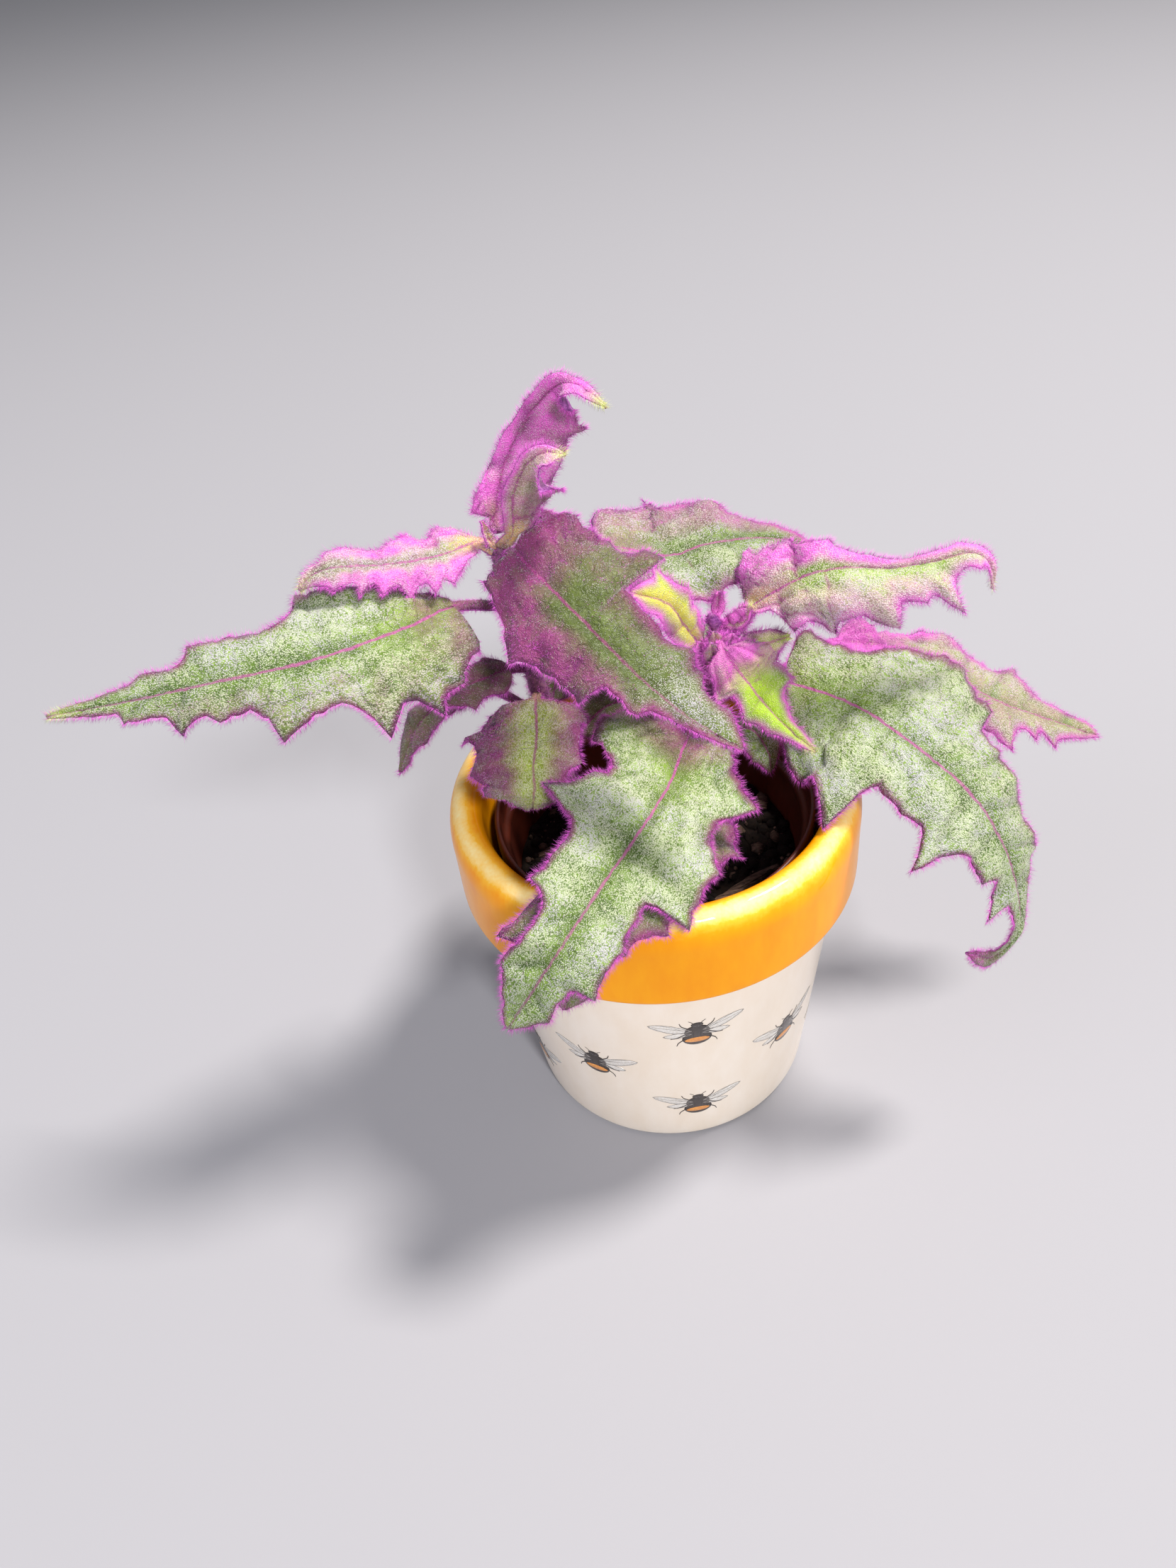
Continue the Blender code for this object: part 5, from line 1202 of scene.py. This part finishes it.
def dress_nursery_pot():
    """Thin plastic pot with a shoulder and a rolled rim, turned from its profile."""
    top, wide = NURSERY_TOP, NURSERY_RADIUS
    slope = (NURSERY_SHOULDER_RADIUS - NURSERY_FOOT_RADIUS) / (NURSERY_SHOULDER - NURSERY_BOTTOM)

    def wall(z, inset=0.0):
        """Place on the sloping wall, or as far inside it as inset says."""
        return (NURSERY_FOOT_RADIUS + slope * (z - NURSERY_BOTTOM) - inset, z)

    outer = [(0, NURSERY_BOTTOM), (NURSERY_FOOT_RADIUS - 1.4, NURSERY_BOTTOM)] + [wall(z) for z in (9, 30, 60, 91)]
    shoulder = eased([wall(92), (wide - 0.9, 92.5), (wide - 0.2, 93.1), (wide, 94.2)], 4)
    rim = eased([(wide, top - 1.2), (wide - 0.1, top - 0.4), (wide - 0.6, top), (wide - 1.2, top - 0.1),
                 (wide - 1.5, top - 0.8)], 4)
    inner = eased([(wide - 1.6, 95.4), (wide - 1.9, 94.0), wall(92.4, 1.2), wall(90, NURSERY_WALL)], 4)
    inner += [wall(z, NURSERY_WALL) for z in (70, 40, 12)]
    inner += [(NURSERY_FOOT_RADIUS - 2, NURSERY_BOTTOM + NURSERY_WALL), (0, NURSERY_BOTTOM + NURSERY_WALL)]
    piece = place_mesh(turned(outer + shoulder + rim + inner, NURSERY_STEPS), "nursery_pot_moulded", PLASTIC)
    settle(piece, "nursery_plastic", "nursery_pot")


# Soil


def soil_height(x, y):
    """Lumpy upper face of the soil, as in the solid."""
    rim = np.clip((SOIL_RADIUS + 1.0 - np.hypot(x, y)) / 6.0, 0, 1)
    lump = noise.noise(Vector((x * 0.16, y * 0.16, 3.1)))
    fine = noise.noise(Vector((x * 0.5, y * 0.5, 8.7)))
    return SOIL_LEVEL + 1.6 * rim * (lump + 0.5 * fine)


def dress_soil():
    """Bed of soil with a crumbly face, and loose crumbs and bark chips scattered on it."""
    rings = [(SOIL_RADIUS * (SOIL_RINGS - k) / SOIL_RINGS, SOIL_LEVEL) for k in range(SOIL_RINGS + 1)]
    bm = turned([(0, SOIL_BOTTOM), (29, SOIL_BOTTOM), (31, SOIL_BOTTOM + 2)] + rings, SOIL_STEPS)
    for vert in bm.verts:
        if vert.co.z > SOIL_LEVEL - 1:
            x, y = vert.co.x, vert.co.y
            crumb = noise.noise(Vector((x * 1.1, y * 1.1, 1.7))) * 0.7
            crumb += noise.noise(Vector((x * 2.6, y * 2.6, 5.1))) * 0.35
            vert.co.z = soil_height(x, y) + crumb * np.clip((SOIL_RADIUS - np.hypot(x, y)) / 2, 0, 1)
    settle(place_mesh(bm, "soil_bed", PEAT), "potting_soil", "soil")
    grain_shape = bmesh.new()
    bmesh.ops.create_icosphere(grain_shape, subdivisions=1, radius=1.0)
    for vert in grain_shape.verts:
        vert.co *= 1.0 + 0.35 * noise.noise(vert.co * 2.3)
    points, faces, _ = mesh_arrays(grain_shape)
    draw = np.random.default_rng(SOIL_SEED)
    radius = (SOIL_RADIUS - 1) * np.sqrt(draw.random(SOIL_GRAINS))
    turn = draw.uniform(0, TURN, SOIL_GRAINS)
    centres = np.array([(r * np.cos(t), r * np.sin(t), soil_height(r * np.cos(t), r * np.sin(t)) + 0.2)
                        for r, t in zip(radius, turn)])
    sizes = draw.gamma(2.2, 0.42, SOIL_GRAINS)[:, None, None] * draw.uniform(0.6, 1.4, (SOIL_GRAINS, 1, 3))
    spins = np.array([np.array(Matrix.Rotation(a, 3, Vector(axis)))
                      for a, axis in zip(draw.uniform(0, TURN, SOIL_GRAINS), draw.normal(size=(SOIL_GRAINS, 3)))])
    copies = np.einsum("nij,npj->npi", spins, points[None] * np.clip(sizes, 0.3, 2.2)) + centres[:, None]
    kinds = np.repeat((draw.random(SOIL_GRAINS) < BARK_SHARE).astype(int), len(faces))
    settle(stamped("soil_crumbs", copies, faces, kinds, PEAT, BARK_FIBRE), "potting_soil")


# Bark and a twig on the soil: place, length, width, height, turn in degrees, as in the solid.
BARK = [
    (17, -22, 9, 4, 3, 20), (24, -17, 19, 3, 2.6, 28), (4, -30, 8, 5, 3, -35), (-22, -22, 11, 5, 3, 70),
    (-30, 4, 8, 4, 3, 15), (30, 14, 9, 5, 3, -20), (-4, 28, 10, 4, 3, 40), (-8, -14, 7, 5, 3, 5),
]


def dress_bark():
    """Splintered lumps: each a block cut fine, tapered and roughened along its grain."""
    for number, (x, y, length, width, height, turn) in enumerate(BARK):
        bm = bmesh.new()
        bmesh.ops.create_cube(bm, size=1.0)
        bmesh.ops.subdivide_edges(bm, edges=bm.edges, cuts=9, use_grid_fill=True)
        for vert in bm.verts:
            taper = 1.0 - 0.45 * abs(vert.co.x) * 2
            round_off = 1.0 - 0.5 * (abs(vert.co.y * 2) ** 3) * (abs(vert.co.z * 2) ** 3)
            grooves = noise.noise(Vector((vert.co.x * 1.2 + number, vert.co.y * 9, vert.co.z * 9)))
            chips = noise.noise(Vector((vert.co.x * 5, vert.co.y * 4, vert.co.z * 4 + number)))
            scale = (taper * round_off) * (1 + 0.22 * grooves + 0.25 * chips)
            vert.co = Vector((vert.co.x * length * (1 + 0.12 * grooves), vert.co.y * width * scale,
                              vert.co.z * height * scale))
        bmesh.ops.rotate(bm, verts=bm.verts, matrix=Matrix.Rotation(np.radians(turn), 3, "Z"))
        bmesh.ops.translate(bm, verts=bm.verts, vec=(x, y, SOIL_LEVEL + 0.8))
        settle(place_mesh(bm, f"bark_{number + 1}", BARK_FIBRE), "potting_soil")


# Printed bees, a plain motif in staggered rows: (height, turn of the first one in degrees)
BEE_ROWS = [(57.5, 4.0), (38.0, 40.0), (18.5, 4.0)]
BEES_IN_ROW = 5
INK_THICKNESS = 0.05
STROKE_LIFT = 0.02
BEE_BLACK, BEE_BAND, BEE_LINE, BEE_WING = range(4)


def spot(bm, centre, size, ink, turn=0.0, lift=0.0):
    """Flat lens of ink, in the print's own plane."""
    made = bmesh.ops.create_cone(bm, cap_ends=True, segments=26, radius1=1.0, radius2=0.9, depth=1.0)["verts"]
    cos, sin = np.cos(turn), np.sin(turn)
    for vert in made:
        x, y = vert.co.x * size[0], vert.co.y * size[1]
        vert.co = Vector((centre[0] + x * cos - y * sin, centre[1] + x * sin + y * cos,
                          vert.co.z * INK_THICKNESS + lift))
    mark_ink(made, ink)


def mark_ink(verts, ink):
    """Gives all faces at the given corners one ink."""
    for face in {face for vert in verts for face in vert.link_faces}:
        face.material_index = ink


def stroke(bm, places, width, ink):
    """Thin drawn line through the places, tapering to its end."""
    line, _ = smooth_route([(x, y, 0) for x, y in places], 3)
    steps = len(line) - 1
    before = set(bm.verts)
    bmesh.ops.create_grid(bm, x_segments=1, y_segments=steps, size=1.0)
    fresh = [v for v in bm.verts if v not in before]
    raised = bmesh.ops.extrude_face_region(bm, geom=list({f for v in fresh for f in v.link_faces}))["geom"]
    top = set(only(bmesh.types.BMVert, raised))
    across = unit(np.cross(np.gradient(line, axis=0), (0, 0, 1)))
    for vert in set(fresh) | top:
        k = round((vert.co.y + 1) / 2 * steps)
        half = width / 2 * (1 - 0.6 * k / steps)
        at = line[k] + across[k] * half * vert.co.x
        vert.co = Vector((at[0], at[1], STROKE_LIFT + (INK_THICKNESS if vert in top else 0.0)))
    mark_ink(set(fresh) | top, ink)


def bee_print():
    """One bee seen from above, wings spread, in millimetres."""
    bm = bmesh.new()
    for side in (1, -1):
        spot(bm, (side * 7.4, 3.6), (6.0, 1.7), BEE_WING, side * 0.32)
        spot(bm, (side * 5.4, 0.2), (3.6, 1.2), BEE_WING, side * -0.05)
        for bend in (1, -1):
            stroke(bm, [(side * 1.5, 1.8), (side * 6.5, 3.3 + bend * 1.75), (side * 11.0, 5.0 + bend * 1.1),
                        (side * 13.2, 5.6)], 0.26, BEE_LINE)
            stroke(bm, [(side * 1.5, 0.4), (side * 5.2, 0.2 + bend * 1.2), (side * 8.2, 0.0 + bend * 0.6),
                        (side * 9.2, 0.0)], 0.22, BEE_LINE)
        stroke(bm, [(side * 1.5, 1.8), (side * 6.0, 3.4), (side * 12.0, 5.2)], 0.18, BEE_LINE)
        stroke(bm, [(side * 4.0, 2.7), (side * 7.5, 4.9), (side * 10.0, 5.9)], 0.14, BEE_LINE)
        for start, knee, end in [((2.4, 3.0), (4.2, 4.6), (4.8, 6.2)), ((3.2, 0.6), (5.6, -0.9), (7.2, -1.2)),
                                 ((3.0, -1.6), (5.0, -3.4), (5.6, -5.0))]:
            stroke(bm, [(side * a, b) for a, b in (start, knee, end)], 0.42, BEE_BLACK)
        stroke(bm, [(side * 0.6, 4.4), (side * 1.4, 5.9), (side * 2.4, 6.8)], 0.26, BEE_BLACK)
        # short fur round the body
        for k in range(9):
            turn = np.radians((200 if side > 0 else 20) + 140 * k / 8)
            root = np.array([3.2 * np.cos(turn), 0.2 + 3.3 * np.sin(turn)])
            stroke(bm, [root, root * 1.12, root * 1.24], 0.3, BEE_BLACK)
    for y, size, ink, lift in ((1.4, (3.6, 3.0), BEE_BLACK, 0.03), (-1.8, (4.1, 3.4), BEE_BLACK, 0.03),
                               (4.7, (1.7, 1.1), BEE_BLACK, 0.03), (-2.7, (3.5, 1.15), BEE_BAND, 0.07)):
        spot(bm, (0, y), size, ink, lift=lift)
    bmesh.ops.triangulate(bm, faces=bm.faces)
    bmesh.ops.recalc_face_normals(bm, faces=bm.faces)
    return mesh_arrays(bm)


def dress_prints():
    """The same print laid round the pot's cone in rows."""
    points, faces, kinds = bee_print()
    lean = np.arctan2(BODY_TOP_RADIUS - FOOT_RADIUS, COLLAR_BOTTOM)
    copies = []
    for height, first in BEE_ROWS:
        for k in range(BEES_IN_ROW):
            z = height + points[:, 1] * np.cos(lean)
            radius = body_radius(z) + points[:, 2] + 0.01
            turn = np.radians(first) + TURN * k / BEES_IN_ROW + points[:, 0] / radius
            copies.append(np.stack([radius * np.sin(turn), -radius * np.cos(turn), z], -1))
    inks = [print_ink(name, code) for name, code in (("bee_black", "#241810"), ("bee_band", "#DE8A3C"),
                                                     ("bee_line", "#8F8984"), ("bee_wing", "#DED6CB"))]
    settle(stamped("bee_prints", np.array(copies), faces, np.tile(kinds, len(copies)), *inks), "pot_glaze")


# Setting


def floor():
    """Plain pale board, matt."""
    bm = bmesh.new()
    bmesh.ops.create_grid(bm, x_segments=1, y_segments=1, size=FLOOR_REACH)
    made, _, _ = blank("pale_floor", Base_Color=tint("#9D9CA1"), Roughness=0.8)
    place_mesh(bm, "floor", made)


def light(name, place_at, size, power, colour):
    """Round soft light, place and size in metres, turned to the plant."""
    lamp = bpy.data.lights.new(name, "AREA")
    lamp.shape = "DISK"
    lamp.size = size
    lamp.energy = power
    lamp.color = tint(colour)[:3]
    made = in_scene(name, lamp)
    made.location = place_at
    made.rotation_euler = (Vector(LIGHTS_AIM) - Vector(place_at)).to_track_quat("-Z", "Y").to_euler()


def studio():
    """Pale surroundings, a warm key light from behind, a softer one in front and a weak cool fill."""
    world = bpy.data.worlds.new("studio")
    world.use_nodes = True
    bpy.context.scene.world = world
    background = world.node_tree.nodes["Background"].inputs
    background["Color"].default_value = tint("#E4E6EC")
    background["Strength"].default_value = 0.40
    light("key", (1.35, 0.3, 3.0), 0.66, 145.0, "#FFFAF4")
    light("front", (0.75, -2.25, 2.1), 0.45, 66.0, "#FFFFFF")
    light("fill", (-1.8, -0.6, 1.2), 1.2, 10.5, "#EEF0FF")
    bpy.context.scene.view_settings.view_transform = "Standard"


def camera():
    """Camera that looks at AIM from the front, pitched down and rolled."""
    pitch, roll = np.radians(CAMERA_PITCH), np.radians(CAMERA_ROLL)
    ahead = np.array([0, np.cos(pitch), -np.sin(pitch)])
    level = np.array([1.0, 0, 0])
    upright = np.cross(level, ahead)
    right = level * np.cos(roll) + upright * np.sin(roll)
    up = upright * np.cos(roll) - level * np.sin(roll)
    stand = np.array(AIM) - ahead * CAMERA_DISTANCE
    lens = bpy.data.cameras.new("camera")
    lens.sensor_width = SENSOR
    lens.lens = SENSOR * FOCAL_SHARE
    lens.clip_start = NEAREST_SEEN
    made = in_scene("camera", lens)
    turn = Matrix(np.stack([right, up, -ahead], 1).tolist()).to_4x4()
    made.matrix_world = Matrix.Translation(Vector(stand * MM)) @ turn
    bpy.context.scene.camera = made


camera()
floor()
studio()
dress_pot()
dress_prints()
dress_nursery_pot()
dress_soil()
dress_bark()
for leaf_name, leaf in LEAVES.items():
    dress_leaf(leaf_name, {**PLAIN_LEAF, **leaf}, leaf_name)
for kind, leaves, columns, spacing in (("tip_leaflet", TIP_LEAFLETS, 5, 0.8), ("bud", BUDS, 4, 0.7)):
    for number, leaf in enumerate(leaves, 1):
        dress_leaf(f"{kind}_{number}", leaf, columns=columns, spacing=spacing)
for stem_name, stem in STEMS.items():
    heights = [leaf["height"] for leaf in LEAVES.values() if leaf["stem"] == stem_name]
    dress_stem(stem_name, stem, heights)
